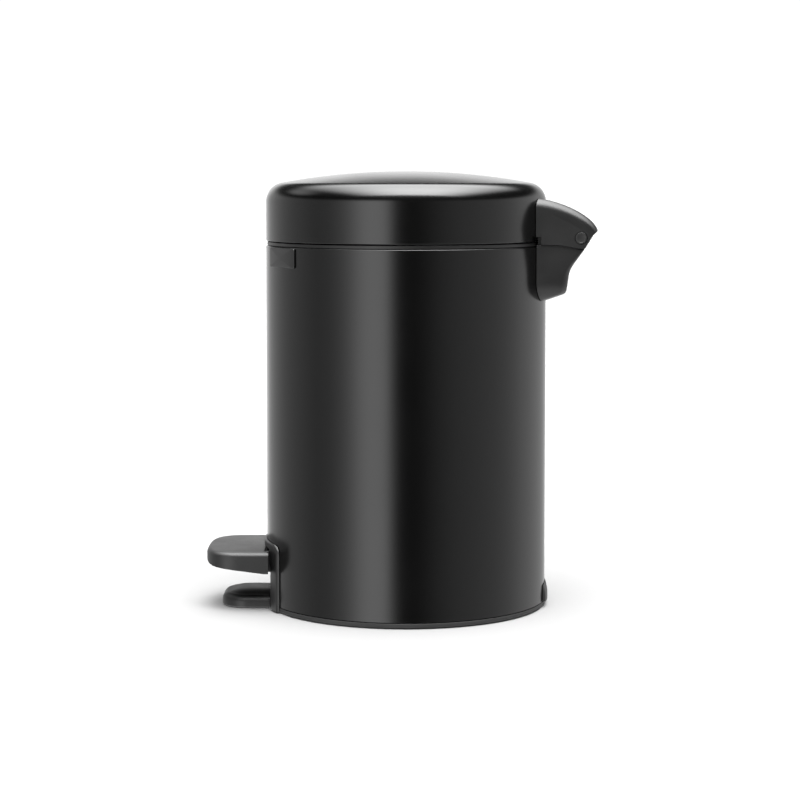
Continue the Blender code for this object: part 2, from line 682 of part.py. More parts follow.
def roof_height(across, inset):
    """The height of the cover's top line, moved in by inset, at this place behind the pin."""
    points = cover_top(inset, 40)
    for near, far in zip(points, points[1:]):
        if near[0] <= across <= far[0]:
            return near[1] + (far[1] - near[1]) * (across - near[0]) / (far[0] - near[0])
    return points[-1][1]


def hinge_base():
    """The bracket on the shell: one outline across its width, a barrel for the pin and a concave grip."""
    back = behind_chord(BASE_HALF_WIDTH)
    top = -COVER_UNDERSIDE - GAP
    outline = [(back, top), (-BARREL_RADIUS / 2, top), (BARREL_RADIUS * 0.75, -BARREL_RADIUS * 0.66)]
    outline += bezier(GRIP_SHOULDER, *GRIP_HANDLES, GRIP_WAIST, 6)
    outline += [GRIP_TOE, GRIP_HEEL, (back, GRIP_HEEL[1] - GRIP_SLOPE * (GRIP_HEEL[0] - back))]
    base = prism("hinge_base", from_pin(outline), "X", -BASE_HALF_WIDTH, BASE_HALF_WIDTH)
    low, high = HINGE_Z - BASE_DEPTH, HINGE_Z + PIN_OFFSET
    radius, half = BASE_CORNER, BASE_HALF_WIDTH
    behind = [(-half - MM, high), (-half, low + radius)]
    behind += arc((radius - half, low + radius), radius, 180, 270, 6)
    behind += arc((half - radius, low + radius), radius, 270, 360, 6)
    behind += [(half + MM, high)]
    keep(base, prism("keep_base_outline", behind, "Y", 0, 3 * BODY_RADIUS))
    space = [(0, 0), (FITTING_RADIUS, 0), (FITTING_RADIUS, high), (0, high)]
    cut(base, revolve("cut_base_shell", space, "black_plastic"))
    ear_inner = COVER_HALF_WIDTH - EAR_WALL
    for side, name in SIDES:
        ends = sorted((side * (ear_inner - GAP), side * (COVER_HALF_WIDTH + MM)))
        cut(base, along_pin(f"cut_base_ear_{name}", *ends, EAR_BOSS_RADIUS + GAP, steps=24))
    barrel_end = ear_inner - GAP
    join(base, along_pin("base_barrel", -barrel_end, barrel_end, BARREL_RADIUS, steps=24))
    slot = [(back - MM, SLOT_OUTLINE[0][1] * MM)] + [(y * MM, z * MM) for y, z in SLOT_OUTLINE]
    slot += [(back - MM, SLOT_OUTLINE[-1][1] * MM)]
    cut(base, prism("cut_base_slot", from_pin(slot), "X", -SLOT_HALF_WIDTH, SLOT_HALF_WIDTH))
    cut(base, along_pin("cut_base_pin", -COVER_HALF_WIDTH, COVER_HALF_WIDTH, PIN_RADIUS + GAP))
    for angle, height, name in hinge_screw_places():
        cut(base, radial_hole(f"cut_base_{name}", angle, height, RING_SKIRT_INNER))
    return base


def hinge_fastening():
    """Two plates inside the shell, and the screws that clamp the hinge base through it."""
    heights = (HINGE_Z - BASE_DEPTH + 3.0 * MM, HINGE_Z - HINGE_SCREW_DROPS[0] + 5.0 * MM)
    radii = (TRAY_OUTER - HINGE_PLATE, TRAY_OUTER)
    made = []
    for side, name in ((1, "left"), (-1, "right")):
        angles = [90 + side * angle for angle in HINGE_PLATE_ANGLES]
        plate = sector(f"hinge_plate_{name}", radii, heights, sorted(angles), "bright_steel", 4)
        for angle, height, number in hinge_screw_places():
            if angle * side < 0:
                cut(plate, radial_hole(f"cut_plate_{name}_{number}", angle, height, RING_SKIRT_INNER))
        made.append(plate)
    for angle, height, number in hinge_screw_places():
        made.append(radial_screw(f"hinge_screw_{number}", angle, height, radii[0] - GAP))
    return made


def hinge_pin():
    end = COVER_HALF_WIDTH - PIN_CAP_THICKNESS
    return along_pin("hinge_pin", -end, end, PIN_RADIUS, "bright_steel")


# ---------------------------------------------------------------- lid


def lid_curve(inset):
    """The lid's outer line moved in by inset: a round shoulder, then a shallow dome up to the pole."""
    across, up = BODY_RADIUS - LID_SHOULDER, LID_BOTTOM + LID_SKIRT
    between = LID_DOME_RADIUS - LID_SHOULDER
    end = math.degrees(math.acos(across / between))
    dome_centre = up - math.sqrt(between**2 - across**2)
    shoulder = arc((across, up), LID_SHOULDER - inset, 0, end, 5)
    dome = arc((0, dome_centre), LID_DOME_RADIUS - inset, end, 90, 5)
    return shoulder + dome[1:-1] + [(0, dome_centre + LID_DOME_RADIUS - inset)]


def lid_cap():
    edge = 0.4 * MM
    profile = [(BODY_RADIUS - edge, LID_BOTTOM), (BODY_RADIUS, LID_BOTTOM + edge)] + lid_curve(0)
    profile += lid_curve(SHEET)[::-1] + [(BODY_RADIUS - SHEET, LID_BOTTOM + LID_HEM)]
    profile += [(BODY_RADIUS - 2 * SHEET, LID_BOTTOM + LID_HEM), (BODY_RADIUS - 2 * SHEET, LID_BOTTOM)]
    cap = revolve("lid_cap", profile, "satin_black_steel")
    for angle, height, name in lid_screw_places():
        cut(cap, radial_hole(f"cut_cap_{name}", angle, height, RING_SKIRT_INNER))
    return cap


def lid_liner():
    outer, inner = lid_curve(LINER_INSET), lid_curve(LINER_INSET + LINER_WALL)
    profile = [(LINER_OUTER, LINER_BOTTOM)] + outer + inner[::-1]
    profile += [(LINER_OUTER - LINER_WALL, LINER_BOTTOM)]
    liner = revolve("lid_liner", profile, "black_plastic")
    for angle, height, name in lid_screw_places():
        cut(liner, radial_hole(f"cut_liner_{name}", angle, height, RING_SKIRT_INNER))
    return liner


def lid_fastening():
    made = []
    for angle, height, name in lid_screw_places():
        made.append(radial_screw(f"lid_screw_{name}", angle, height, LINER_OUTER - LINER_WALL - GAP))
    radii = (LINER_OUTER - LINER_WALL, LINER_OUTER)
    heights = (RING_TOP + GAP, LINER_BOTTOM - GAP)
    for number, angle in enumerate(BUFFER_ANGLES, 1):
        angles = (angle - BUFFER_SPAN / 2, angle + BUFFER_SPAN / 2)
        made.append(sector(f"lid_buffer_{number}", radii, heights, angles, "soft_black", 2))
    return made


def hinge_cover():
    """A roof over the hinge with an ear at each end, rounded side edges, hollow behind its front block."""
    back = behind_chord(COVER_HALF_WIDTH)

    def outline(inset):
        top = cover_top(inset)
        ear = arc((0, 0), EAR_BOSS_RADIUS, 12, -145, 10)
        underside = [(ear[-1][0], -COVER_UNDERSIDE), (back, -COVER_UNDERSIDE)]
        return from_pin([(back, top[0][1])] + top + [COVER_LIP] + ear + underside)

    half, bend = COVER_HALF_WIDTH, COVER_ROUND
    turns = [math.radians(angle) for angle in (0, 30, 60, 90)]
    right = [(half - bend + bend * math.sin(turn), bend * (1 - math.cos(turn))) for turn in turns]
    stations = [(-x, inset) for x, inset in reversed(right)] + right
    loops = [[(x, y, z) for y, z in outline(inset)] for x, inset in stations]
    cover = loft("hinge_cover", loops, "black_plastic")
    space = [(0, HINGE_Z - BASE_DEPTH), (FITTING_RADIUS, HINGE_Z - BASE_DEPTH)] + lid_curve(-GAP)
    cut(cover, revolve("cut_cover_lid", space, "black_plastic"))
    front, low = -COVER_CAVITY_FRONT, -PIN_OFFSET
    inner = [point for point in cover_top(COVER_ROOF) if point[0] > front]
    cavity = [(front, low), (front, roof_height(front, COVER_ROOF))] + inner
    cavity += [(COVER_LIP[0] + 2 * GAP, COVER_LIP[1] + GAP), (PIN_OFFSET, 0), (PIN_OFFSET, low)]
    inside = half - EAR_WALL
    cut(cover, prism("cut_cover_cavity", from_pin(cavity), "X", -inside, inside))
    cut(cover, along_pin("cut_cover_pin", -2 * half, 2 * half, PIN_RADIUS + GAP))
    for side, name in SIDES:
        ends = sorted((side * (half - PIN_CAP_THICKNESS), side * 2 * half))
        cut(cover, along_pin(f"cut_cover_cap_{name}", *ends, PIN_CAP_RADIUS + GAP, steps=24))
    for angle, height, name in lid_screw_places():
        cut(cover, radial_hole(f"cut_cover_{name}", angle, height, RING_SKIRT_INNER))
    return cover


def pin_caps():
    made = []
    for side, name in SIDES:
        ends = (side * (COVER_HALF_WIDTH - PIN_CAP_THICKNESS + GAP), side * COVER_HALF_WIDTH)
        made.append(along_pin(f"pin_cap_{name}", *ends, PIN_CAP_RADIUS, steps=24))
    return made


def lid_crank():
    """An arm from the pin to the push rod's shoe, with a key that fills the space under the cover's roof."""
    tip = (CRANK_TIP_Y - HINGE_Y, CRANK_TIP_Z - HINGE_Z)
    half = CRANK_HALF_WIDTH
    crank = along_pin("lid_crank", -half, half, CRANK_HUB, "grey_plastic", 24)
    join(crank, prism("crank_arm", from_pin(bar_outline((0, 0), tip, CRANK_ARM)), "X", -half, half))
    tip_ends = [(x, CRANK_TIP_Y, CRANK_TIP_Z) for x in (-half, half)]
    join(crank, rod("crank_tip", *tip_ends, CRANK_TIP, steps=24))
    key_front, key_back = -CRANK_KEY_FRONT, -CRANK_KEY_BACK
    key_top = roof_height(key_back, COVER_ROOF + GAP)
    low = (-CRANK_HALF_WIDTH, HINGE_Y + key_front, HINGE_Z)
    high = (CRANK_HALF_WIDTH, HINGE_Y + key_back, HINGE_Z + key_top)
    join(crank, box("crank_key", low, high))
    return cut(crank, along_pin("cut_crank_pin", -COVER_HALF_WIDTH, COVER_HALF_WIDTH, PIN_RADIUS + GAP))


# ---------------------------------------------------------------- pedal and rod


def pedal_pad():
    """A flat-topped pad with a neck through the doorway, its underside rising to the tip."""
    front = -(BODY_RADIUS + PAD_REACH)
    neck_end = -(BODY_RADIUS - NECK_END_INSET)
    rear = FITTING_RADIUS + FRAME_PROUD + PAD_BEHIND_GAP
    turns = [math.degrees(math.asin(half / rear)) for half in (NECK_HALF_WIDTH, PAD_HALF_WIDTH)]

    def outline(inset):
        radius, half = PAD_CORNER - inset, PAD_HALF_WIDTH - inset
        middle = front + PAD_CORNER
        left = [(-NECK_HALF_WIDTH, neck_end)] + arc((0, 0), rear, 270 - turns[0], 270 - turns[1], 2)[:-1]
        left += [(-half, -math.sqrt(rear**2 - PAD_HALF_WIDTH**2))]
        left += arc((-half + radius, middle), radius, 180, 270, 7)
        return left + [(-x, y) for x, y in reversed(left)]

    layers = [(PAD_BOTTOM - 2 * PAD_ROUND, 0)]
    layers += [
        (PAD_TOP - PAD_ROUND * (1 - math.sin(turn)), PAD_ROUND * (1 - math.cos(turn)))
        for turn in (math.radians(30 * step) for step in range(4))
    ]
    loops = [[(x, y, z) for x, y in outline(inset)] for z, inset in layers]
    pad = loft("pedal_pad", loops, "black_plastic")
    tip_height = PAD_BOTTOM + PAD_RISE + PAD_TIP_ROUND
    behind = neck_end + BODY_RADIUS
    under = [(behind, 0), (behind, PAD_BOTTOM), (-BODY_RADIUS, PAD_BOTTOM)]
    under += bezier(
        (front + PAD_TIP_ROUND, PAD_BOTTOM + PAD_RISE),
        (front + PAD_TIP_ROUND / 2, PAD_BOTTOM + PAD_RISE * 1.15),
        (front, PAD_BOTTOM + PAD_RISE * 1.4),
        (front - MM, tip_height),
        5,
    )
    under += [(front - PAD_TIP_ROUND, tip_height), (front - PAD_TIP_ROUND, 0)]
    cut(pad, prism("cut_pad_underside", under, "X", -2 * PAD_HALF_WIDTH, 2 * PAD_HALF_WIDTH))
    for x, y, name in pedal_screw_places():
        tip = PAD_TOP - 2 * PAD_ROUND
        ends = [(x, y, 0), (x, y, tip + GAP)]
        cut(pad, rod(f"cut_pad_{name}", *ends, PEDAL_SCREW_RADIUS + GAP, steps=SCREW_STEPS))
    return pad


def pedal_screw_places():
    place = -(BODY_RADIUS - NECK_END_INSET) - PEDAL_SCREW_INSET
    return [(side * PEDAL_SCREW_SPREAD, place, name) for side, name in SIDES]


def pedal_lever():
    """A strap from under the neck, through a hub on the axle, sloping down to the rod's foot at the back."""
    half, thick = LEVER_HALF_WIDTH, LEVER_THICKNESS
    front = pedal_screw_places()[0][1] - PEDAL_SCREW_INSET
    top = PAD_BOTTOM - GAP
    hub_end = BOSS_HALF_SPAN - BOSS_THICKNESS / 2 - GAP
    slope = PEDAL_ANGLE / 2
    along, across = (math.cos(slope), -math.sin(slope)), (math.sin(slope), math.cos(slope))
    end = LEVER_REACH / math.cos(slope) + 1.0 * MM
    arm = [
        (
            AXLE_Y + reach * along[0] + side * thick / 2 * across[0],
            AXLE_HEIGHT + reach * along[1] + side * thick / 2 * across[1],
        )
        for reach, side in ((0, -1), (end, -1), (end, 1), (0, 1))
    ]
    lever = prism("pedal_lever", arm, "X", -half, half, "bright_steel")
    join(lever, box("lever_front", (-half, front, top - thick), (half, AXLE_Y, top)))
    hub = [(-hub_end, AXLE_Y, AXLE_HEIGHT), (hub_end, AXLE_Y, AXLE_HEIGHT)]
    join(lever, rod("lever_hub", *hub, HUB_RADIUS, "bright_steel"))
    hole = [(-2 * hub_end, AXLE_Y, AXLE_HEIGHT), (2 * hub_end, AXLE_Y, AXLE_HEIGHT)]
    cut(lever, rod("cut_lever_axle", *hole, AXLE_RADIUS + GAP))
    for x, y, name in pedal_screw_places():
        ends = [(x, y, 0), (x, y, PAD_TOP)]
        cut(lever, rod(f"cut_lever_{name}", *ends, PEDAL_SCREW_RADIUS + GAP, steps=SCREW_STEPS))
    return lever


def push_rod():
    """A straight wire between its foot on the lever and its shoe under the crank."""
    ends = [(0, ROD_Y, ROD_FOOT_Z + ROD_FOOT_RADIUS + GAP), (0, ROD_Y, SHOE_BOTTOM - GAP)]
    return rod("push_rod", *ends, ROD_RADIUS, "bright_steel", SCREW_STEPS)


def rod_foot():
    """A round-bottomed block under the rod's end, with a tongue up the rod's inner side."""
    centre = (ROD_Y - ROD_CONTACT_INSET, ROD_FOOT_Z)
    front, back = centre[0] - ROD_FOOT_RADIUS, ROD_Y - ROD_RADIUS - GAP
    seat, top = ROD_FOOT_Z + ROD_FOOT_RADIUS, ROD_FOOT_Z + ROD_FOOT_HEIGHT
    outline = arc(centre, ROD_FOOT_RADIUS, 180, 360, 8)
    outline += [(centre[0] + ROD_FOOT_RADIUS, seat), (back, seat), (back, top), (front, top)]
    return prism("rod_foot", outline, "X", -ROD_FOOT_HALF_WIDTH, ROD_FOOT_HALF_WIDTH, "grey_plastic")


def rod_shoe():
    low = (-SHOE_HALF_WIDTH, RIM_RADIUS + 0.5 * MM, SHOE_BOTTOM)
    high = (SHOE_HALF_WIDTH, CRANK_TIP_Y + SHOE_OVERRUN, SHOE_TOP)
    return box("rod_shoe", low, high, "grey_plastic")


# ---------------------------------------------------------------- bucket


def inner_bucket():
    """A tapered bucket that hangs by its rim on the ring's ledge, with an ear at each side for the bail."""
    foot, bend = BUCKET_RADIUS - BUCKET_TAPER, BUCKET_FLOOR_ROUND
    low = BUCKET_FLOOR
    outer = [(0, low)] + arc((foot - bend, low + bend), bend, -90, -4, 5) + [(BUCKET_RADIUS, RIM_BOTTOM)]
    outer += [(RIM_RADIUS, RIM_BOTTOM), (RIM_RADIUS, RIM_TOP), (BUCKET_RADIUS - BUCKET_WALL, RIM_TOP)]
    inner = arc((foot - bend, low + bend), bend - BUCKET_WALL, -90, -4, 5)[::-1]
    inner += [(0, low + BUCKET_WALL)]
    bucket = revolve("inner_bucket", outer + inner, "grey_plastic")
    ear_outer = BAIL_RADIUS - BAIL_BEND - BAIL_EAR_GAP
    for side, name in SIDES:
        near, far = sorted((side * (ear_outer - EAR_THICKNESS), side * ear_outer))
        ear_low = (near, -EAR_HALF_WIDTH, (RIM_BOTTOM + RIM_TOP) / 2)
        ear_high = (far, EAR_HALF_WIDTH, BAIL_Z + EAR_ABOVE_HOLE)
        join(bucket, box(f"ear_{name}", ear_low, ear_high))
        ends = [(side * (ear_outer - 2 * EAR_THICKNESS), 0, BAIL_Z), (side * (ear_outer + MM), 0, BAIL_Z)]
        cut(bucket, rod(f"cut_ear_{name}", *ends, BAIL_WIRE + GAP, steps=SCREW_STEPS))
    return bucket


def bucket_handle():
    """A half ring of wire whose two ends turn in through the ears."""
    radius, bend = BAIL_RADIUS, BAIL_BEND
    peg = radius - bend - BAIL_EAR_GAP - EAR_THICKNESS - 2 * GAP
    lean = math.degrees(math.asin(bend / radius))
    right = [(peg, 0), (radius - bend - 0.2 * MM, 0)] + arc((radius - bend, -bend), bend, 75, 15, 4)
    ring = arc((0, 0), radius, -lean - 2, -180 + lean + 2, 24)
    left = [(-x, y) for x, y in reversed(right)]
    wire = bpy.data.curves.new("bucket_handle", "CURVE")
    wire.dimensions = "3D"
    wire.bevel_depth = BAIL_WIRE
    wire.bevel_resolution = 2
    wire.use_fill_caps = True
    route = right + ring + left
    spline = wire.splines.new("POLY")
    spline.points.add(len(route) - 1)
    for point, (x, y) in zip(spline.points, route):
        point.co = (x, y, BAIL_Z, 1)
    wire.materials.append(finish("bright_steel"))
    made = bpy.data.objects.new("bucket_handle", wire)
    bpy.context.scene.collection.objects.link(made)
    return made


# ---------------------------------------------------------------- assembly


def build():
    clear_scene()
    body = pivot("body", (0, 0, 0))
    lid = pivot("lid_axis", (0, HINGE_Y, HINGE_Z))
    pedal = pivot("pedal_axis", (0, AXLE_Y, AXLE_HEIGHT))
    slider = pivot("rod_line", (0, ROD_Y, 0))
    bucket = pivot("bucket_line", (0, 0, BUCKET_FLOOR))
    bail = pivot("bail_axis", (0, 0, BAIL_Z))

    fixed = [body_shell(), top_ring(), badge(), base_tray(), floor_ring(), rear_tab()]
    fixed += [pedal_frame(), front_foot()] + axle_and_clips() + rod_guides()
    fixed += [hinge_base(), hinge_pin()] + hinge_fastening()
    for x, y, name in foot_screw_places():
        fixed.append(upright_screw(f"foot_screw_{name}", x, y, TRAY_RIM, FOOT_TOP))
        ends = [(x, y, TRAY_RIM - MM), (x, y, FOOT_TOP)]
        hole = rod(f"cut_tray_{name}", *ends, SCREW_RADIUS + GAP, steps=SCREW_STEPS)
        cut(bpy.data.objects["base_tray"], hole)
    moving_lid = [lid_cap(), lid_liner(), hinge_cover(), lid_crank()] + pin_caps() + lid_fastening()
    moving_pedal = [pedal_pad(), pedal_lever()]
    for x, y, name in pedal_screw_places():
        seat = PAD_BOTTOM - GAP - LEVER_THICKNESS
        moving_pedal.append(upright_screw(f"pedal_screw_{name}", x, y, PAD_TOP - 2 * PAD_ROUND, seat))
    sliding = [push_rod(), rod_foot(), rod_shoe()]

    groups = ((body, fixed), (lid, moving_lid), (pedal, moving_pedal), (slider, sliding))
    for carrier, pieces in groups + ((bucket, [inner_bucket()]), (bail, [bucket_handle()])):
        for piece in pieces:
            carry(piece, carrier)
    for axis in (lid, pedal, slider, bucket):
        carry(axis, body)
    carry(bail, bucket)


build()
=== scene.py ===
"""Looks for a small round pedal bin: satin black steel with matte black plastic fittings.

Everything is in metres in the frame's own axes: the bin stands on z = 0 with its axis on Z, the pedal
points to -Y and the hinge to +Y. Visible pieces are surfaces worked out on grids and placed by the
frame's boxes, and the small inner pieces keep their own shape and take a finish.
"""

import json
import math

import bmesh
import bpy
import numpy as np
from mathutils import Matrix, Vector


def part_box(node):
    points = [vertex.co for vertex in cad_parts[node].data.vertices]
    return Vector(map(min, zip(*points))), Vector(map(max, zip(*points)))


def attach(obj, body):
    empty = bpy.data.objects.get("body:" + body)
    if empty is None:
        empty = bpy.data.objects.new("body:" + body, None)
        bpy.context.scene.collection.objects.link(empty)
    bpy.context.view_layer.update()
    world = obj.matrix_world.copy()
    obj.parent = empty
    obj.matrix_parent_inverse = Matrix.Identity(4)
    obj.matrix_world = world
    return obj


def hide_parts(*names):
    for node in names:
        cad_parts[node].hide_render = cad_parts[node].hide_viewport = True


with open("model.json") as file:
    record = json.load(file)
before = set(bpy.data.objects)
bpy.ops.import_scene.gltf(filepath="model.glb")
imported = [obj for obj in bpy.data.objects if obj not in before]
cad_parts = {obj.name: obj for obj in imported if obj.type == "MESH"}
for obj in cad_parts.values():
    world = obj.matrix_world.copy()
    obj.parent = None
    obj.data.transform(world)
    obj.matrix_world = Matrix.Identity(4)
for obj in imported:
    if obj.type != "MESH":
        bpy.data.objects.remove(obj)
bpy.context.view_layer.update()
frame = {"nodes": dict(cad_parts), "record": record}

MM = 0.001
ROUND = 256  # steps in a full turn of the large round pieces
CLEAR = 0.3 * MM  # the clearance between neighbouring pieces
SHARP_EDGE = 38  # degrees between two faces, above which soften rounds their edge
LEAST = 0.02  # the share at which a shape stops shrinking, so that it never ends in a point

# Places read from the frame
SHELL_LOW, SHELL_HIGH = (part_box("body_shell")[end][2] for end in (0, 1))
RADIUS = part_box("body_shell")[1][0]
LID_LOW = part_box("lid_cap")[0][2]
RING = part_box("top_ring")
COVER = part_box("hinge_cover")
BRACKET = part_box("hinge_base")
PIN = [(low + high) / 2 for low, high in zip(*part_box("hinge_pin"))]
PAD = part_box("pedal_pad")
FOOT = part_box("front_foot")
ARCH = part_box("pedal_frame")
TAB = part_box("rear_tab")
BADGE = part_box("badge")
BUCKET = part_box("inner_bucket")
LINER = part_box("lid_liner")
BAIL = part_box("bucket_handle")
FLOOR_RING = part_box("floor_ring")
WINDOW_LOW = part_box("rod_shoe")[0][2] - 2 * MM
BAIL_WIRE = (BAIL[1][2] - BAIL[0][2]) / 2
BAIL_RADIUS = BAIL[1][0] - BAIL_WIRE
BAIL_HEIGHT = (BAIL[1][2] + BAIL[0][2]) / 2

# Steel body and lid
SHEET = 0.8 * MM
BEAD = 1.6 * MM
SHOULDER = 12.0 * MM
DOME_RADIUS = 420.0 * MM
SKIRT = 23.5 * MM
HEM = 3.0 * MM

WINDOW_HALF = 6.0 * MM  # the slot that the push rod's shoe comes through
EDGE_BEND = 0.6 * MM  # the shell's rolled top corner

BADGE_TURN = (-71.1, -49.8)  # the badge's ends round the wall, in degrees

# Doorway and its arch
DOOR_HALF = 28.5 * MM
DOOR_TOP = 37.4 * MM
DOOR_ROUND = 4.0 * MM
COLLAR = 1.2 * MM
COLLAR_DEPTH = 3.2 * MM
ARCH_PROUD = 1.4 * MM
ARCH_ROUND = 6.0 * MM
ARCH_LOW = 0.8 * MM
SCREW_HEAD = 1.7 * MM

# Ring, bucket and bail
RING_WALL = 1.6 * MM
RING_LEDGE = 3.4 * MM
LEDGE_THICKNESS = 2.0 * MM
RIM_THICKNESS = 1.5 * MM
BUCKET_PLAY = 1.9 * MM
BUCKET_TAPER = 6.0 * MM
BAIL_BEND = 1.6 * MM
BAIL_EAR_GAP = 0.3 * MM
EAR_THICKNESS = 2.0 * MM


# ---------------------------------------------------------------- shapes


def arc(centre, radius, start, end, steps):
    """Points on a circle from one angle in degrees to another: centre plus radius times cosine and sine."""
    turns = np.radians(np.linspace(start, end, steps + 1))
    return np.column_stack([centre[0] + radius * np.cos(turns), centre[1] + radius * np.sin(turns)])


def bezier(points, steps):
    """A cubic curve: its four points weighted by the cubic Bernstein terms."""
    t = np.linspace(0, 1, steps + 1)[:, None]
    weights = ((1 - t) ** 3, 3 * t * (1 - t) ** 2, 3 * t**2 * (1 - t), t**3)
    return sum(weight * np.array(point) for weight, point in zip(weights, points))


def line(start, end, steps=1):
    """Evenly spaced points from start to end."""
    return np.linspace(start, end, steps + 1)


def skin(name, grid, wrap_rows=False, wrap_columns=False, caps=False):
    """Quads between the points of a grid. Wrapping joins its last row or column to its first, and caps
    close the first and last row. Points that coincide, as at a pole, become one."""
    rows, columns = grid.shape[:2]
    numbers = np.arange(rows * columns).reshape(rows, columns)
    ends = [numbers[0].tolist(), numbers[-1].tolist()] if caps else []
    if wrap_rows:
        numbers = np.vstack([numbers, numbers[:1]])
    if wrap_columns:
        numbers = np.hstack([numbers, numbers[:, :1]])
    corners = (numbers[:-1, :-1], numbers[:-1, 1:], numbers[1:, 1:], numbers[1:, :-1])
    faces = np.stack(corners, axis=-1).reshape(-1, 4).tolist() + ends
    mesh = bpy.data.meshes.new(name)
    mesh.from_pydata(grid.reshape(-1, 3), [], faces)
    shape = bmesh.new()
    shape.from_mesh(mesh)
    bmesh.ops.remove_doubles(shape, verts=shape.verts, dist=1e-7)
    bmesh.ops.recalc_face_normals(shape, faces=shape.faces)
    shape.to_mesh(mesh)
    shape.free()
    made = bpy.data.objects.new(name, mesh)
    bpy.context.scene.collection.objects.link(made)
    return made


def turned(name, profile, closed=True, steps=ROUND):
    """A profile of (radius, height) turned about Z: x and y are radius times cosine and sine of the turn."""
    profile = np.asarray(profile)
    turns = np.linspace(0, math.tau, steps, endpoint=False)
    radius, height = profile[:, :1], profile[:, 1:]
    grid = np.stack([radius * np.cos(turns), radius * np.sin(turns), height + 0 * turns], axis=-1)
    return skin(name, grid, wrap_rows=closed, wrap_columns=True)


def stacked(name, outline, levels):
    """Closed outlines one above another: outline gives the (x, y) points for each level's inset."""
    loops = []
    for height, inset in levels:
        points = outline(inset)
        loops.append(np.column_stack([points, np.full(len(points), height)]))
    return skin(name, np.array(loops), wrap_columns=True, caps=True)


def drawn(name, outline, axis, low, high):
    """An outline pulled along one axis from low to high, its two numbers on the other two axes."""
    outline = np.asarray(outline)
    loops = [np.insert(outline, axis, level, axis=1) for level in (low, high)]
    return skin(name, np.array(loops), wrap_columns=True, caps=True)


def along_pin(name, profile, steps=48):
    """A profile of (place along X, radius) turned about the hinge pin's line."""
    profile = np.asarray(profile)
    turns = np.linspace(0, math.tau, steps, endpoint=False)
    along, radius = profile[:, :1], profile[:, 1:]
    grid = [along + 0 * turns, PIN[1] + radius * np.cos(turns), PIN[2] + radius * np.sin(turns)]
    return skin(name, np.stack(grid, axis=-1), wrap_columns=True)


def rod(name, start, end, radius, steps=48):
    """A round bar on the hinge pin's line, from one place along X to another."""
    return along_pin(name, [(start, 0), (start, radius), (end, radius), (end, 0)], steps)


def carve(piece, tools, operation="DIFFERENCE"):
    """Takes the tools away from a piece, or joins them to it, and removes them."""
    for tool in tools:
        step = piece.modifiers.new("carve", "BOOLEAN")
        step.operation = operation
        step.solver = "EXACT"
        step.object = tool
    graph = bpy.context.evaluated_depsgraph_get()
    result = bpy.data.meshes.new_from_object(piece.evaluated_get(graph))
    piece.modifiers.clear()
    piece.data = result
    for tool in tools:
        bpy.data.objects.remove(tool, do_unlink=True)
    return piece


def soften(piece, width, segments=3):
    """Rounds the sharp edges of a piece."""
    step = piece.modifiers.new("soften", "BEVEL")
    step.width = width
    step.segments = segments
    step.limit_method = "ANGLE"
    step.angle_limit = math.radians(SHARP_EDGE)
    step.use_clamp_overlap = True
    return piece


def dress(piece, look, slot, body, *nodes, sharp=32):
    """Gives a finished piece its material, smooth shading and the body it moves with, and hides the frame's
    nodes it stands in for. The slot is not used.
    """
    piece.data.materials.clear()
    piece.data.materials.append(look)
    piece.data.shade_smooth()
    piece.data.set_sharp_from_angle(angle=math.radians(sharp))
    piece.data.name = piece.name
    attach(piece, body)
    if nodes:
        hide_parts(*nodes)
    return piece


# ---------------------------------------------------------------- finishes


def new_group(name, inputs, outputs):
    """An empty shader group with number inputs and outputs, and its two end nodes."""
    group = bpy.data.node_groups.new(name, "ShaderNodeTree")
    for label, value in inputs:
        socket = group.interface.new_socket(label, in_out="INPUT", socket_type="NodeSocketFloat")
        socket.default_value = value
    for label in outputs:
        group.interface.new_socket(label, in_out="OUTPUT", socket_type="NodeSocketFloat")
    return group, group.nodes.new("NodeGroupInput"), group.nodes.new("NodeGroupOutput")


def grain_group():
    """Fine moulded or sprayed grain: two noises, one four times finer, added as a height."""
    group, start, end = new_group("fine_grain", [("Scale", 800.0), ("Fine Share", 0.3)], ["Height"])
    place = group.nodes.new("ShaderNodeTexCoord")
    coarse = group.nodes.new("ShaderNodeTexNoise")
    fine = group.nodes.new("ShaderNodeTexNoise")
    finer = group.nodes.new("ShaderNodeMath")
    finer.operation = "MULTIPLY"
    finer.inputs[1].default_value = 4.0
    share = group.nodes.new("ShaderNodeMath")
    share.operation = "MULTIPLY"
    total = group.nodes.new("ShaderNodeMath")
    total.operation = "ADD"
    links = group.links
    for noise in (coarse, fine):
        noise.inputs["Detail"].default_value = 2.0
        links.new(place.outputs["Object"], noise.inputs["Vector"])
    links.new(start.outputs["Scale"], coarse.inputs["Scale"])
    links.new(start.outputs["Scale"], finer.inputs[0])
    links.new(finer.outputs[0], fine.inputs["Scale"])
    links.new(fine.outputs["Fac"], share.inputs[0])
    links.new(start.outputs["Fine Share"], share.inputs[1])
    links.new(coarse.outputs["Fac"], total.inputs[0])
    links.new(share.outputs[0], total.inputs[1])
    links.new(total.outputs[0], end.inputs["Height"])
    return group


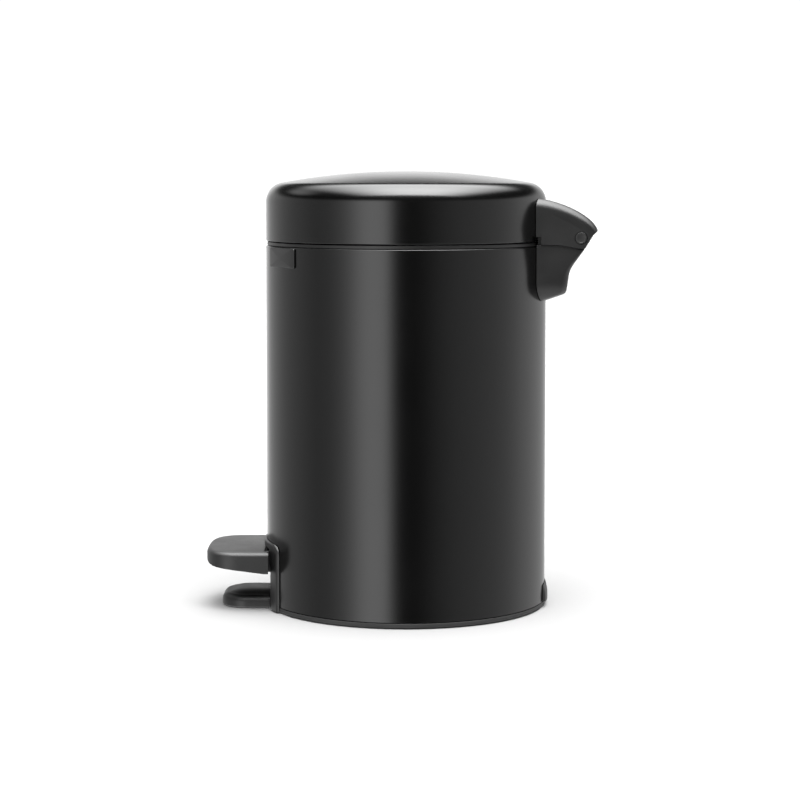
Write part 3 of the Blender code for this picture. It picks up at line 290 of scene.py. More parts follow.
def drift_group():
    """A slow change over the surface: a soft noise, stretched between a low and a high value."""
    group, start, end = new_group("slow_drift", [("Scale", 30.0), ("Low", 0.0), ("High", 1.0)], ["Value"])
    place = group.nodes.new("ShaderNodeTexCoord")
    noise = group.nodes.new("ShaderNodeTexNoise")
    noise.inputs["Detail"].default_value = 4.0
    noise.inputs["Roughness"].default_value = 0.6
    stretch = group.nodes.new("ShaderNodeMapRange")
    stretch.inputs["From Min"].default_value = 0.3
    stretch.inputs["From Max"].default_value = 0.7
    links = group.links
    links.new(place.outputs["Object"], noise.inputs["Vector"])
    links.new(start.outputs["Scale"], noise.inputs["Scale"])
    links.new(noise.outputs["Fac"], stretch.inputs["Value"])
    links.new(start.outputs["Low"], stretch.inputs["To Min"])
    links.new(start.outputs["High"], stretch.inputs["To Max"])
    links.new(stretch.outputs["Result"], end.inputs["Value"])
    return group


def drawn_group():
    """Lines left by drawing or rolling: a noise stretched hard along one axis, Z here."""
    group, start, end = new_group("drawn_lines", [("Scale", 900.0), ("Stretch", 0.02)], ["Value"])
    place = group.nodes.new("ShaderNodeTexCoord")
    squeeze = group.nodes.new("ShaderNodeCombineXYZ")
    squeeze.inputs["X"].default_value = 1.0
    squeeze.inputs["Y"].default_value = 1.0
    scaled = group.nodes.new("ShaderNodeVectorMath")
    scaled.operation = "MULTIPLY"
    noise = group.nodes.new("ShaderNodeTexNoise")
    noise.inputs["Detail"].default_value = 3.0
    links = group.links
    links.new(start.outputs["Stretch"], squeeze.inputs["Z"])
    links.new(place.outputs["Object"], scaled.inputs[0])
    links.new(squeeze.outputs[0], scaled.inputs[1])
    links.new(scaled.outputs[0], noise.inputs["Vector"])
    links.new(start.outputs["Scale"], noise.inputs["Scale"])
    links.new(noise.outputs["Fac"], end.inputs["Value"])
    return group


GRAIN = grain_group()
DRIFT = drift_group()
DRAWN = drawn_group()


def use_group(tree, group, **values):
    """Places a group in a material, with its own values."""
    node = tree.nodes.new("ShaderNodeGroup")
    node.node_tree = group
    for label, value in values.items():
        node.inputs[label.replace("_", " ")].default_value = value
    return node


def new_material(name, roughness, metallic=0.0):
    """A material with its plain values set on the shader, and its tree and shader to work on."""
    look = bpy.data.materials.new(name)
    look.use_nodes = True
    shader = look.node_tree.nodes["Principled BSDF"]
    shader.inputs["Roughness"].default_value = roughness
    shader.inputs["Metallic"].default_value = metallic
    return look, look.node_tree, shader


def tone(tree, shader, dark, light, scale):
    """A colour that drifts slowly between two near tones."""
    drift = use_group(tree, DRIFT, Scale=scale, Low=0.0, High=1.0)
    mix = tree.nodes.new("ShaderNodeMix")
    mix.data_type = "RGBA"
    mix.inputs["A"].default_value = (*dark, 1)
    mix.inputs["B"].default_value = (*light, 1)
    tree.links.new(drift.outputs["Value"], mix.inputs["Factor"])
    tree.links.new(mix.outputs["Result"], shader.inputs["Base Color"])


def vary_roughness(tree, shader, low, high, scale):
    """A roughness that drifts slowly between two values."""
    drift = use_group(tree, DRIFT, Scale=scale, Low=low, High=high)
    tree.links.new(drift.outputs["Value"], shader.inputs["Roughness"])


def bump(tree, shader, source, distance, strength=1.0):
    """Relief from a height, on the shader's normal."""
    node = tree.nodes.new("ShaderNodeBump")
    node.inputs["Distance"].default_value = distance
    node.inputs["Strength"].default_value = strength
    tree.links.new(source, node.inputs["Height"])
    tree.links.new(node.outputs["Normal"], shader.inputs["Normal"])


def satin_coat():
    """Matte black stove enamel on steel: nearly black, an even satin sheen and a faint orange peel."""
    look, tree, shader = new_material("satin_black_coat", 0.2)
    tone(tree, shader, (0.0007, 0.0007, 0.0007), (0.0011, 0.0011, 0.0011), 14.0)
    vary_roughness(tree, shader, 0.185, 0.215, 22.0)
    grain = use_group(tree, GRAIN, Scale=700.0, Fine_Share=0.35)
    bump(tree, shader, grain.outputs["Height"], 0.012 * MM, 0.5)
    return look


def moulded_black(name, dark, light, rough, grain_scale, depth):
    """Black polypropylene from a spark-eroded mould: dark grey, broad sheen, fine even grain."""
    look, tree, shader = new_material(name, rough)
    tone(tree, shader, (dark,) * 3, (light,) * 3, 45.0)
    vary_roughness(tree, shader, rough - 0.04, rough + 0.05, 60.0)
    grain = use_group(tree, GRAIN, Scale=grain_scale, Fine_Share=0.5)
    bump(tree, shader, grain.outputs["Height"], depth, 0.7)
    return look


def bright_steel():
    """Drawn steel wire and strip: bright, with fine lines that change its gloss."""
    look, tree, shader = new_material("bright_steel", 0.3, 1.0)
    tone(tree, shader, (0.48, 0.48, 0.49), (0.6, 0.6, 0.61), 60.0)
    lines = use_group(tree, DRAWN, Scale=1400.0, Stretch=0.03)
    gloss = tree.nodes.new("ShaderNodeMapRange")
    gloss.inputs["To Min"].default_value = 0.2
    gloss.inputs["To Max"].default_value = 0.42
    tree.links.new(lines.outputs["Value"], gloss.inputs["Value"])
    tree.links.new(gloss.outputs["Result"], shader.inputs["Roughness"])
    bump(tree, shader, lines.outputs["Value"], 0.01 * MM, 0.4)
    return look


COAT = satin_coat()
BLACK = moulded_black("black_plastic", 0.0045, 0.006, 0.42, 2200.0, 0.02 * MM)
PEDAL = moulded_black("pedal_plastic", 0.005, 0.007, 0.46, 1700.0, 0.03 * MM)
BADGE_LOOK = moulded_black("badge_plastic", 0.005, 0.007, 0.34, 2600.0, 0.01 * MM)
GREY = moulded_black("grey_plastic", 0.15, 0.18, 0.42, 1500.0, 0.015 * MM)
SOFT = moulded_black("soft_black", 0.008, 0.012, 0.7, 1200.0, 0.03 * MM)
STEEL = bright_steel()


# ---------------------------------------------------------------- steel body and lid


def rectangle(left, bottom, right, top):
    """The four corners, the lower two first."""
    return [(left, bottom), (right, bottom), (right, top), (left, top)]


def arch_points(half, top, bottom, radius):
    """A doorway's outline in X and Z: up the left side, round its two top corners, down the right side."""
    left = line((-half, bottom), (-half, top - radius), 10)[:-1]
    over = arc((radius - half, top - radius), radius, 180, 90, 12)
    across = line(over[-1], (half - radius, top), 16)[1:-1]
    return np.vstack([left, over, across, np.flip(over * (-1, 1), 0), np.flip(left * (-1, 1), 0)])


def dome_curve(inset):
    """The lid's line moved in by inset: a quarter round shoulder that runs into a shallow dome's arc."""
    across, up = RADIUS - SHOULDER, LID_LOW + SKIRT
    between = DOME_RADIUS - SHOULDER
    end = math.degrees(math.acos(across / between))
    centre = up - math.sqrt(between**2 - across**2)
    shoulder = arc((across, up), SHOULDER - inset, 0, end, 24)
    dome = arc((0, centre), DOME_RADIUS - inset, end, 90, 32)
    dome[-1, 0] = 0
    return np.vstack([shoulder, dome[1:]])


def body_shell():
    """A tube of sheet turned over into a bead at its top, its outer corner bent tightly, with the pedal's
    doorway and the rod's window."""
    centre = (RADIUS - BEAD, SHELL_HIGH - BEAD)
    inside = RADIUS - SHEET
    meets = -math.degrees(math.acos((inside - centre[0]) / BEAD))
    wall = line((inside, SHELL_LOW), (inside, centre[1] - BEAD), 4)[:-1]
    roll = arc(centre, BEAD, meets, -270, 24)
    corner = arc((RADIUS - EDGE_BEND, SHELL_HIGH - EDGE_BEND), EDGE_BEND, 90, 0, 8)
    outer = line((RADIUS, centre[1]), (RADIUS, SHELL_LOW), 4)
    shell = turned("steel_body", np.vstack([wall, roll, corner, outer]))
    wider = COLLAR + CLEAR
    door = arch_points(DOOR_HALF + wider, DOOR_TOP + wider, 0, DOOR_ROUND + wider)
    window = rectangle(-WINDOW_HALF, WINDOW_LOW, WINDOW_HALF, 2 * SHELL_HIGH)
    tools = [drawn("door", door, 1, -2 * RADIUS, 0), drawn("window", window, 1, 0, 2 * RADIUS)]
    return dress(carve(shell, tools), COAT, "coated_steel", "bin", "body_shell")


def lid_cap():
    """The drawn lid: rolled hem, straight skirt, round shoulder and shallow dome, one sheet thick."""
    edge = 0.4 * MM
    hem = arc((RADIUS - edge, LID_LOW + edge), edge, -90, 0, 6)
    inner = np.flip(dome_curve(SHEET), 0)
    end = [(RADIUS - SHEET, LID_LOW + HEM), (RADIUS - 2 * SHEET, LID_LOW + HEM - SHEET)]
    end += [(RADIUS - 2 * SHEET, LID_LOW + edge), (RADIUS - 2 * SHEET + edge, LID_LOW)]
    profile = np.vstack([hem, dome_curve(0), inner, end])
    return dress(turned("steel_lid", profile), COAT, "coated_steel", "lid", "lid_cap")


def lid_liner():
    """The lid's plastic lining: the lid's own line moved in, with a bead round its edge."""
    gap, wall = RADIUS - LINER[1][0], 1.6 * MM
    outer, inner = dome_curve(gap), np.flip(dome_curve(gap + wall), 0)
    low = LINER[0][2]
    rim = arc((LINER[1][0] - wall / 2, low + wall / 2), wall / 2, 180, 360, 10)
    profile = np.vstack([rim, outer, inner])
    return dress(turned("lid_lining", profile), BLACK, "black_plastic", "lid", "lid_liner")


def top_ring():
    """The ring in the joint between body and lid, with the ledge that the bucket hangs on."""
    low, high = RING[0][2], RING[1][2]
    outer = RING[1][0]
    seam = SHELL_HIGH + CLEAR
    skirt_outer = RADIUS - 2 * BEAD - CLEAR
    skirt_inner = skirt_outer - RING_WALL
    ledge, ledge_top = skirt_inner - RING_LEDGE, low + LEDGE_THICKNESS
    edge = 0.4 * MM
    profile = np.vstack([
        arc((outer - edge, seam + edge), edge, -90, 0, 5),
        arc((outer - edge, high - edge), edge, 0, 90, 5),
        arc((skirt_inner + edge, high - edge), edge, 90, 180, 5),
        [(skirt_inner, ledge_top)],
        arc((ledge + edge, ledge_top - edge), edge, 90, 180, 5),
        arc((ledge + edge, low + edge), edge, 180, 270, 5),
        [(skirt_outer, low), (skirt_outer, seam)],
    ])
    ring = turned("joint_ring", profile)
    notch = rectangle(-WINDOW_HALF, BUCKET[1][0] + CLEAR, WINDOW_HALF, 2 * RADIUS)
    carve(ring, [drawn("notch", notch, 2, low - 2 * MM, high + 2 * MM)])
    return dress(ring, BLACK, "black_plastic", "bin", "top_ring")


def floor_ring():
    """The soft ring under the body: a band with rounded edges on a lower, narrower tread."""
    inner, outer, high = RADIUS - 6 * MM, FLOOR_RING[1][0], FLOOR_RING[1][2]
    tread, inset, bend = 1.0 * MM, 1.8 * MM, 0.7 * MM
    profile = np.vstack([
        [(inner, 0), (outer - inset, 0), (outer - inset, tread)],
        arc((outer - bend, tread + bend), bend, -90, 0, 8),
        arc((outer - bend / 2, high - bend / 2), bend / 2, 0, 90, 6),
        [(inner, high)],
    ])
    return dress(turned("foot_ring", profile), SOFT, "soft_black", "bin", "floor_ring")


# ---------------------------------------------------------------- plastic fittings on the body


def round_plate(half_width, half_height, corner, steps=8):
    """A rectangle with round corners about (0, 0), as four arcs."""
    across, up = half_width - corner, half_height - corner
    centres = ((across, up), (-across, up), (-across, -up), (across, -up))
    quarters = [arc(centre, corner, 90 * turn, 90 * turn + 90, steps) for turn, centre in enumerate(centres)]
    return np.vstack(quarters)


def badge():
    """A blank plate bent to the body: rings of a rounded rectangle from its back's middle, round its edge
    and in to its front's middle. Width along the wall becomes an angle about Z."""
    inner = RADIUS + CLEAR
    thick = 0.8 * MM
    middle = math.radians(sum(BADGE_TURN) / 2)
    half_width = math.radians(BADGE_TURN[1] - BADGE_TURN[0]) / 2 * inner
    half_height = (BADGE[1][2] - BADGE[0][2]) / 2
    centre_z = (BADGE[1][2] + BADGE[0][2]) / 2
    plate = round_plate(half_width, half_height, 1.2 * MM)
    bend = 0.45 * MM
    edge = plate / np.linalg.norm(plate, axis=1, keepdims=True) * bend
    rings = [(plate * scale, inner) for scale in np.linspace(0, 1, 9)]
    for turn in np.radians(np.linspace(0, 90, 7)):
        rings.append((plate - edge * (1 - math.cos(turn)), inner + thick - bend * (1 - math.sin(turn))))
    rings += [((plate - edge) * scale, inner + thick) for scale in np.linspace(1, 0, 9)[1:]]
    grid = []
    for points, radius in rings:
        turn = middle + points[:, 0] / inner
        grid.append(np.column_stack([radius * np.cos(turn), radius * np.sin(turn), centre_z + points[:, 1]]))
    plate = skin("blank_badge", np.array(grid), wrap_columns=True)
    return dress(plate, BADGE_LOOK, "black_plastic", "bin", "badge")


def pedal_frame():
    """The arch round the doorway. Its section, a rounded flange on the wall and a collar through it, is
    carried along the arch: each point lies some way from the door's edge towards the arch's outer edge,
    at some radius from the axis, and y is minus the root of radius squared less x squared."""
    door = arch_points(DOOR_HALF, DOOR_TOP, ARCH_LOW, DOOR_ROUND)
    face = arch_points(ARCH[1][0], ARCH[1][2], ARCH_LOW, ARCH_ROUND)
    band = face - door
    width = np.linalg.norm(band, axis=1)
    across = band / width[:, None]
    wall = RADIUS + CLEAR
    outer = wall + ARCH_PROUD
    back = RADIUS - SHEET - COLLAR_DEPTH
    lip, edge = 0.8 * MM, 1.3 * MM
    turns = np.radians(np.linspace(0, 90, 7))
    none = np.zeros_like(width)
    section = [(none, back), (none, (back + outer) / 2)]
    section += [(none + lip * (1 - math.cos(t)), outer - lip * (1 - math.sin(t))) for t in turns]
    section += [(width * share, outer) for share in (0.3, 0.5, 0.7)]
    section += [(width - edge * (1 - math.sin(t)), outer - edge * (1 - math.cos(t))) for t in turns]
    section += [(width, wall), ((width + COLLAR) / 2, wall), (none + COLLAR, wall), (none + COLLAR, back)]
    grid = []
    for place, radius in section:
        spot = door + across * place[:, None]
        height = spot[:, 1]
        if radius < wall:
            height = np.maximum(height, ARCH[0][2] + 2 * MM)
        grid.append(np.column_stack([spot[:, 0], -np.sqrt(radius**2 - spot[:, 0] ** 2), height]))
    loops = np.swapaxes(np.array(grid), 0, 1)
    arch = skin("doorway_arch", loops, wrap_columns=True, caps=True)
    return dress(arch, BLACK, "black_plastic", "bin", "pedal_frame")


def front_foot():
    """The stabiliser: a tongue with a round front, its outline drawn in over a wide rounded edge and then
    over a low crown, whose height above the edge is one less the square of what is left to the middle."""
    half, front = FOOT[1][0], FOOT[0][1]
    low, high = FOOT[0][2], FOOT[1][2]
    back = FOOT[1][1]
    corner, bend, bevel, crown = 16 * MM, 4.5 * MM, 0.8 * MM, 2.0 * MM

    def outline(inset):
        left = arc((-half + corner, front + corner), corner - inset, 180, 270, 20)
        return np.vstack([[(-half + inset, back)], left, np.flip(left * (-1, 1), 0), [(half - inset, back)]])

    turns = np.radians(np.linspace(0, 90, 13))
    levels = [(low + bevel * (1 - math.sin(t)), bevel * (1 - math.cos(t))) for t in turns[::-2]]
    edge = high - crown
    levels += [(edge - bend * (1 - math.sin(t)), bend * (1 - math.cos(t))) for t in turns]
    left = np.linspace(1, 0, 9)[1:]
    levels += [
        (edge + crown * (1 - share**2), corner - (corner - bend) * max(share, LEAST)) for share in left
    ]
    foot = stacked("front_foot_block", outline, levels)
    seat_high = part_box("foot_screw_left")[0][2] + SCREW_HEAD + CLEAR
    seat = rectangle(0, -seat_high, RADIUS + CLEAR, seat_high)
    carve(foot, [turned("seat", seat, False)])
    return dress(foot, PEDAL, "black_plastic", "bin", "front_foot")


def rear_tab():
    """A wedge against the wall: its section goes from full thickness to a thin top edge, and is carried
    round the wall while its ends are drawn in on a quarter round."""
    half = math.asin(TAB[1][0] / RADIUS)
    low, high = TAB[0][2], TAB[1][2]
    wall = RADIUS + CLEAR
    proud = TAB[1][1] - wall
    middle = (low + high) / 2
    turns = np.linspace(-half, half, 49)
    rounding = math.radians(1.6)
    ends = np.clip((half - np.abs(turns)) / rounding, 0, 1)
    thinning = np.sqrt(1 - (1 - ends) ** 2)
    section = [(0.0, low), (1.0, low), (1.0, middle - 1.2 * MM), (0.94, middle), (0.62, (middle + high) / 2)]
    section += [(0.3, high - 0.3 * MM), (0.15, high), (0.0, high)]
    grid = []
    for share, height in section:
        radius = wall + proud * np.maximum(share * thinning, LEAST * (share > 0))
        grid.append(np.column_stack([radius * np.sin(turns), radius * np.cos(turns), height + 0 * turns]))
    loops = np.swapaxes(np.array(grid), 0, 1)
    tab = skin("rear_wedge", loops, wrap_columns=True, caps=True)
    return dress(tab, PEDAL, "black_plastic", "bin", "rear_tab")


# ---------------------------------------------------------------- hinge

# Side outlines from the pin, across and up
NOSE = (10.3 * MM, 4.8 * MM)
ROOF_START = (-25.6 * MM, 23.7 * MM)
ROOF_HANDLES = ((-12.0 * MM, 22.5 * MM), (7.5 * MM, 13.5 * MM))
LIP_HANDLES = ((10.2 * MM, 3.5 * MM), (8.8 * MM, 3.2 * MM))
LIP = (7.2 * MM, 1.75 * MM)
EAR_TOE = (2.4 * MM, -6.1 * MM)
HOOD_BEND = 6.0 * MM
HOOD_NOTCH = (-24.1 * MM, 0.8 * MM, 3.0 * MM)  # the corner cut by the lid: reach, height, width
PARTING = ((-13.0 * MM, -4.2 * MM), (0.5 * MM, -6.5 * MM))  # the joint line's bend and its end at the ear
CAVITY_BACK = -11.4 * MM
EAR_SPACE = 7.1 * MM  # room that the ears turn in
UNDERSIDE = 3.7 * MM
EAR_WALL = 3.8 * MM
BARREL = 5.6 * MM
GRIP_SHOULDER = (1.2 * MM, -8.1 * MM)
GRIP_HANDLES = ((-3.7 * MM, -15.3 * MM), (-6.3 * MM, -17.5 * MM))
GRIP_WAIST = (-7.0 * MM, -23.0 * MM)
GRIP_TOE = (-8.1 * MM, -31.2 * MM)
GRIP_TOE_HANDLES = ((-8.4 * MM, -32.8 * MM), (-9.0 * MM, -33.6 * MM))
GRIP_HEEL = (-10.2 * MM, -34.13 * MM)
GRIP_EDGES = ((-36 * MM, -23 * MM, -8 * MM), (4.5 * MM, 4.5 * MM, 1.2 * MM))  # heights, edge roundings
GRIP_SLOPE = 0.377
CAP_RADIUS = 3.6 * MM
CAP_DEPTH = 2.0 * MM
BORE = 2.3 * MM
HOOD_WALL = 2.4 * MM
FAR = 19.0 * MM  # further in front of the pin and below it than the cover reaches
ROOF_THINNING = 0.6  # how much less an inset moves the roof at its nose
CRANK_SLOT_HALF = 5.0 * MM
CRANK_SLOT = (  # the crank's room in the bracket, in millimetres from the pin
    (-30.0, -24.5), (-11.5, -24.5), (-9.2, -18.5), (-4.8, -13.0),
    (-1.5, -7.5), (12.0, -7.5), (12.0, 12.0), (-30.0, 12.0),
)


def roof_line(inset, steps=48):
    """The cover's top line, moved along its own normal by inset, and by less towards the nose."""
    points = bezier((ROOF_START, *ROOF_HANDLES, NOSE), steps)
    run = np.gradient(points, axis=0)
    run /= np.linalg.norm(run, axis=1, keepdims=True)
    share = 1 - ROOF_THINNING * np.linspace(0, 1, steps + 1)[:, None] ** 2
    return points + inset * share * np.column_stack([run[:, 1], -run[:, 0]])


def parting_line(drop, back):
    """The joint between cover and bracket, lowered by drop: level at the lid and sloping to the ear."""
    return [(across, up - drop) for across, up in ((back, -UNDERSIDE), *PARTING)]


def hinge_cover():
    """The cover on the lid: its side outline carried across X, drawn in under the roof line over a
    rounded edge at each side, hollow behind its front block, with an ear at each end of the pin."""
    half = COVER[1][0]
    back = math.sqrt(RADIUS**2 - half**2) - 2 * MM - PIN[1]

    def outline(inset):
        roof = roof_line(inset)
        shift = roof[-1] - NOSE
        lip = bezier((NOSE, *LIP_HANDLES, LIP), 8)[1:] + shift * np.linspace(1, 0, 9)[1:, None]
        under = parting_line(0, back)[::-1]
        return np.vstack([[(back, roof[0, 1])], roof, lip, [EAR_TOE], under]) + PIN[1:]

    turns = np.radians(np.linspace(0, 90, 17))
    right = [(half - HOOD_BEND + HOOD_BEND * math.sin(t), HOOD_BEND * (1 - math.cos(t))) for t in turns]
    stations = [(-x, inset) for x, inset in reversed(right)] + right
    loops = [np.insert(outline(inset), 0, x, axis=1) for x, inset in stations]
    cover = skin("hinge_hood", np.array(loops), wrap_columns=True, caps=True)

    low = BRACKET[0][2]
    below_lid = [(0, low), (RADIUS + CLEAR, low)]
    lid_space = turned("lid_space", np.vstack([below_lid, dome_curve(-CLEAR)]), False)
    inner = roof_line(HOOD_WALL)
    inner = inner[inner[:, 0] > CAVITY_BACK]
    cavity = np.vstack([
        [(CAVITY_BACK, -FAR), (CAVITY_BACK, inner[0, 1])],
        inner,
        [(LIP[0] + MM, LIP[1]), (FAR, 0), (FAR, -FAR)],
    ])
    inside = half - EAR_WALL
    tools = [lid_space, drawn("cavity", cavity + PIN[1:], 0, -inside, inside)]
    reach, notch_high, notch_wide = HOOD_NOTCH
    notch = np.array(rectangle(back - MM, -FAR, reach, notch_high))
    for side in (-1, 1):
        tools.append(rod(f"recess_{side}", side * (half - CAP_DEPTH), side * 2 * half, CAP_RADIUS + CLEAR))
        tools.append(rod(f"bore_{side}", side * (inside - MM), side * half, BORE, 32))
        near, far = sorted((side * (half - notch_wide), side * 2 * half))
        tools.append(drawn(f"notch_{side}", notch + PIN[1:], 0, near, far))
    carve(cover, tools)
    soften(cover, 0.45 * MM)
    return dress(cover, BLACK, "black_plastic", "lid", "hinge_cover")


def hinge_base():
    """The bracket on the body: for each height, a section across X whose front lies on the side outline,
    with its side edges rounded more the lower it is, and whose half width narrows on a quarter round at
    the foot. The wall's round is cut from its back and the cover's sloping sides from its top."""
    half, low = BRACKET[1][0], BRACKET[0][2]
    top = PIN[2] - UNDERSIDE - CLEAR
    grip = bezier((GRIP_SHOULDER, *GRIP_HANDLES, GRIP_WAIST), 24)
    toe = bezier((GRIP_TOE, *GRIP_TOE_HANDLES, GRIP_HEEL), 10)
    foot = (GRIP_HEEL[0] - (GRIP_HEEL[1] - (low - PIN[2])) / GRIP_SLOPE, low - PIN[2])
    profile = np.flip(np.vstack([[(BARREL * 0.75, -UNDERSIDE - CLEAR)], grip, toe, [foot]]), 0)
    heights = np.unique(np.concatenate([profile[:, 1], np.linspace(low - PIN[2], GRIP_WAIST[1], 30)]))
    fronts = np.interp(heights, profile[:, 1], profile[:, 0]) + PIN[1]
    corner = 13.0 * MM
    drop = np.clip(corner - (heights - (low - PIN[2])), 0, corner)
    halves = half - corner + np.sqrt(np.maximum(corner**2 - drop**2, 0))
    back = math.sqrt(RADIUS**2 - half**2) - 4 * MM
    loops = []
    for height, front, wide, bend in zip(heights, fronts, halves, np.interp(heights, *GRIP_EDGES)):
        bend = min(bend, max(front - back, 0) * 0.9)
        right = arc((wide - bend, front - bend), bend, 0, 90, 10)
        points = np.vstack([[(wide, back)], right, np.flip(right * (-1, 1), 0), [(-wide, back)]])
        loops.append(np.column_stack([points, np.full(len(points), height + PIN[2])]))
    bracket = skin("hinge_bracket", np.array(loops), wrap_columns=True, caps=True)

    ear_inner = COVER[1][0] - EAR_WALL
    tools = [turned("wall", rectangle(0, low - MM, RADIUS + CLEAR, top + MM), False)]
    far_back = back - PIN[1]
    parting = np.array(parting_line(CLEAR, far_back))
    over = np.vstack([parting, [(0, 0), (far_back, 5 * MM)]]) + PIN[1:]
    step = np.interp(CAVITY_BACK, parting[:, 0], parting[:, 1])
    shelf = np.array([*parting[:2], (CAVITY_BACK, step), (CAVITY_BACK, 0), (far_back, 0)]) + PIN[1:]
    tools.append(drawn("shelf", shelf, 0, -2 * half, 2 * half))
    barrel_end = ear_inner - CLEAR
    for side in (-1, 1):
        ends = (side * barrel_end, side * (half + 2 * MM))
        tools.append(rod(f"ear_space_{side}", *ends, EAR_SPACE, 64))
        tools.append(drawn(f"side_space_{side}", over, 0, *sorted(ends)))
    carve(bracket, tools)
    carve(bracket, [rod("barrel", -barrel_end, barrel_end, BARREL, 64)], "UNION")
    slot = np.array(CRANK_SLOT) * MM + PIN[1:]
    carve(bracket, [drawn("slot", slot, 0, -CRANK_SLOT_HALF, CRANK_SLOT_HALF)])
    soften(bracket, 0.4 * MM)
    return dress(bracket, BLACK, "black_plastic", "bin", "hinge_base")


def pin_caps():
    """Two caps in the ears: a disc with a rounded rim and a shallow dish, turned about the pin."""
    half = COVER[1][0]
    for side, name in ((-1, "left"), (1, "right")):
        face, rim, dish = half, 0.5 * MM, 0.35 * MM
        inner = half - CAP_DEPTH + CLEAR
        edge = arc((face - rim, CAP_RADIUS - rim), rim, 90, 0, 8)
        flat = CAP_RADIUS - 2 * rim
        bowl = [(face - dish * share, flat * (1 - share**2)) for share in np.linspace(0, 1, 9)]
        profile = np.vstack([[(inner, 0), (inner, CAP_RADIUS)], edge, bowl])
        cap = along_pin(f"ear_cap_{name}", profile * (side, 1), 64)
        dress(cap, PEDAL, "black_plastic", "lid", f"pin_cap_{name}")


# ---------------------------------------------------------------- pedal

TREAD_POWER = 3.2
NECK_HALF = DOOR_HALF - 1.5 * MM
TREAD_GAP = 3.0 * MM  # between the arch and the pedal's back edge


def pedal_pad():
    """The pedal: its outline from above drawn in over a rounded top edge, with its underside cut on a
    curve that rises to the tip. Its front is a superellipse: x is the half width times cosine, and y the
    depth times sine, each to the power 2 over TREAD_POWER. Its back edge is concentric with the wall, and
    a neck goes through it."""
    half, front = PAD[1][0], PAD[0][1]
    low, high = PAD[0][2], PAD[1][2]
    neck_end = PAD[1][1]
    rear = RADIUS + CLEAR + ARCH_PROUD + TREAD_GAP
    turns = [math.degrees(math.asin(reach / rear)) for reach in (NECK_HALF, half)]
    depth, bend = 25.0 * MM, 3.0 * MM

    def outline(inset):
        behind = arc((0, 0), rear, 270 - turns[0], 270 - turns[1], 6)[:-1]
        shoulder = [(-half + inset, -math.sqrt(rear**2 - half**2))]
        sweep = np.linspace(0, math.pi / 2, 29)
        x = -(half - inset) * np.cos(sweep) ** (2 / TREAD_POWER)
        y = front + depth - (depth - inset) * np.sin(sweep) ** (2 / TREAD_POWER)
        tip = np.column_stack([x, y])
        left = np.vstack([[(-NECK_HALF, neck_end)], behind, shoulder, tip])
        return np.vstack([left, np.flip(left * (-1, 1), 0)])

    rounds = np.radians(np.linspace(0, 90, 10))
    levels = [(low - 4 * MM, 0)]
    levels += [(high - bend * (1 - math.sin(t)), bend * (1 - math.cos(t))) for t in rounds]
    pad = stacked("pedal_tread", outline, levels)
    rise, tip_round = 4.0 * MM, 5.0 * MM
    tip_height = low + rise + tip_round
    behind = neck_end + RADIUS
    handles = ((front + tip_round / 2, low + rise * 1.15), (front, low + rise * 1.4))
    curve = bezier(((front + tip_round, low + rise), *handles, (front - MM, tip_height)), 16)
    under = np.vstack([
        [(behind, 0), (behind, low), (-RADIUS, low)],
        curve,
        [(front - tip_round, tip_height), (front - tip_round, 0)],
    ])
    carve(pad, [drawn("underside", under, 0, -2 * half, 2 * half)])
    soften(pad, 0.5 * MM)
    return dress(pad, PEDAL, "black_plastic", "pedal", "pedal_pad")


# ---------------------------------------------------------------- bucket


def inner_bucket():
    """The lift-out bucket: a tapered wall on a rounded floor, a flat rim, and an ear each side."""
    low, rim_outer = BUCKET[0][2], BUCKET[1][0]
    rim_low = RING[0][2] + LEDGE_THICKNESS + CLEAR
    rim_high = rim_low + RIM_THICKNESS
    wall, bend = 1.4 * MM, 6.0 * MM
    upper = RADIUS - 2 * BEAD - CLEAR - RING_WALL - RING_LEDGE - BUCKET_PLAY
    lower = upper - BUCKET_TAPER
    edge = 0.5 * MM
    profile = np.vstack([
        [(0, low)],
        arc((lower - bend, low + bend), bend, -90, -4, 16),
        [(upper, rim_low)],
        arc((rim_outer - edge, rim_low + edge), edge, -90, 0, 5),
        arc((rim_outer - edge, rim_high - edge), edge, 0, 90, 5),
        arc((upper - wall + edge, rim_high - edge), edge, 90, 180, 5),
        np.flip(arc((lower - bend, low + bend), bend - wall, -90, -4, 16), 0),
        [(0, low + wall)],
    ])
    bucket = turned("bucket_tub", profile, closed=False)
    ear_outer = BAIL_RADIUS - BAIL_BEND - BAIL_EAR_GAP
    ear_half, ear_top = 3.6 * MM, BUCKET[1][2]
    ear_low = rim_low + RIM_THICKNESS / 3
    dome = arc((0, ear_top - ear_half), ear_half, 0, 180, 16)
    plate = np.vstack([[(ear_half, ear_low)], dome, [(-ear_half, ear_low)]])
    ears = []
    for side in (-1, 1):
        near, far = sorted((side * (ear_outer - EAR_THICKNESS), side * ear_outer))
        ears.append(drawn(f"ear_{side}", plate, 0, near, far))
    carve(bucket, ears, "UNION")
    return dress(bucket, GREY, "grey_plastic", "bucket", "inner_bucket")


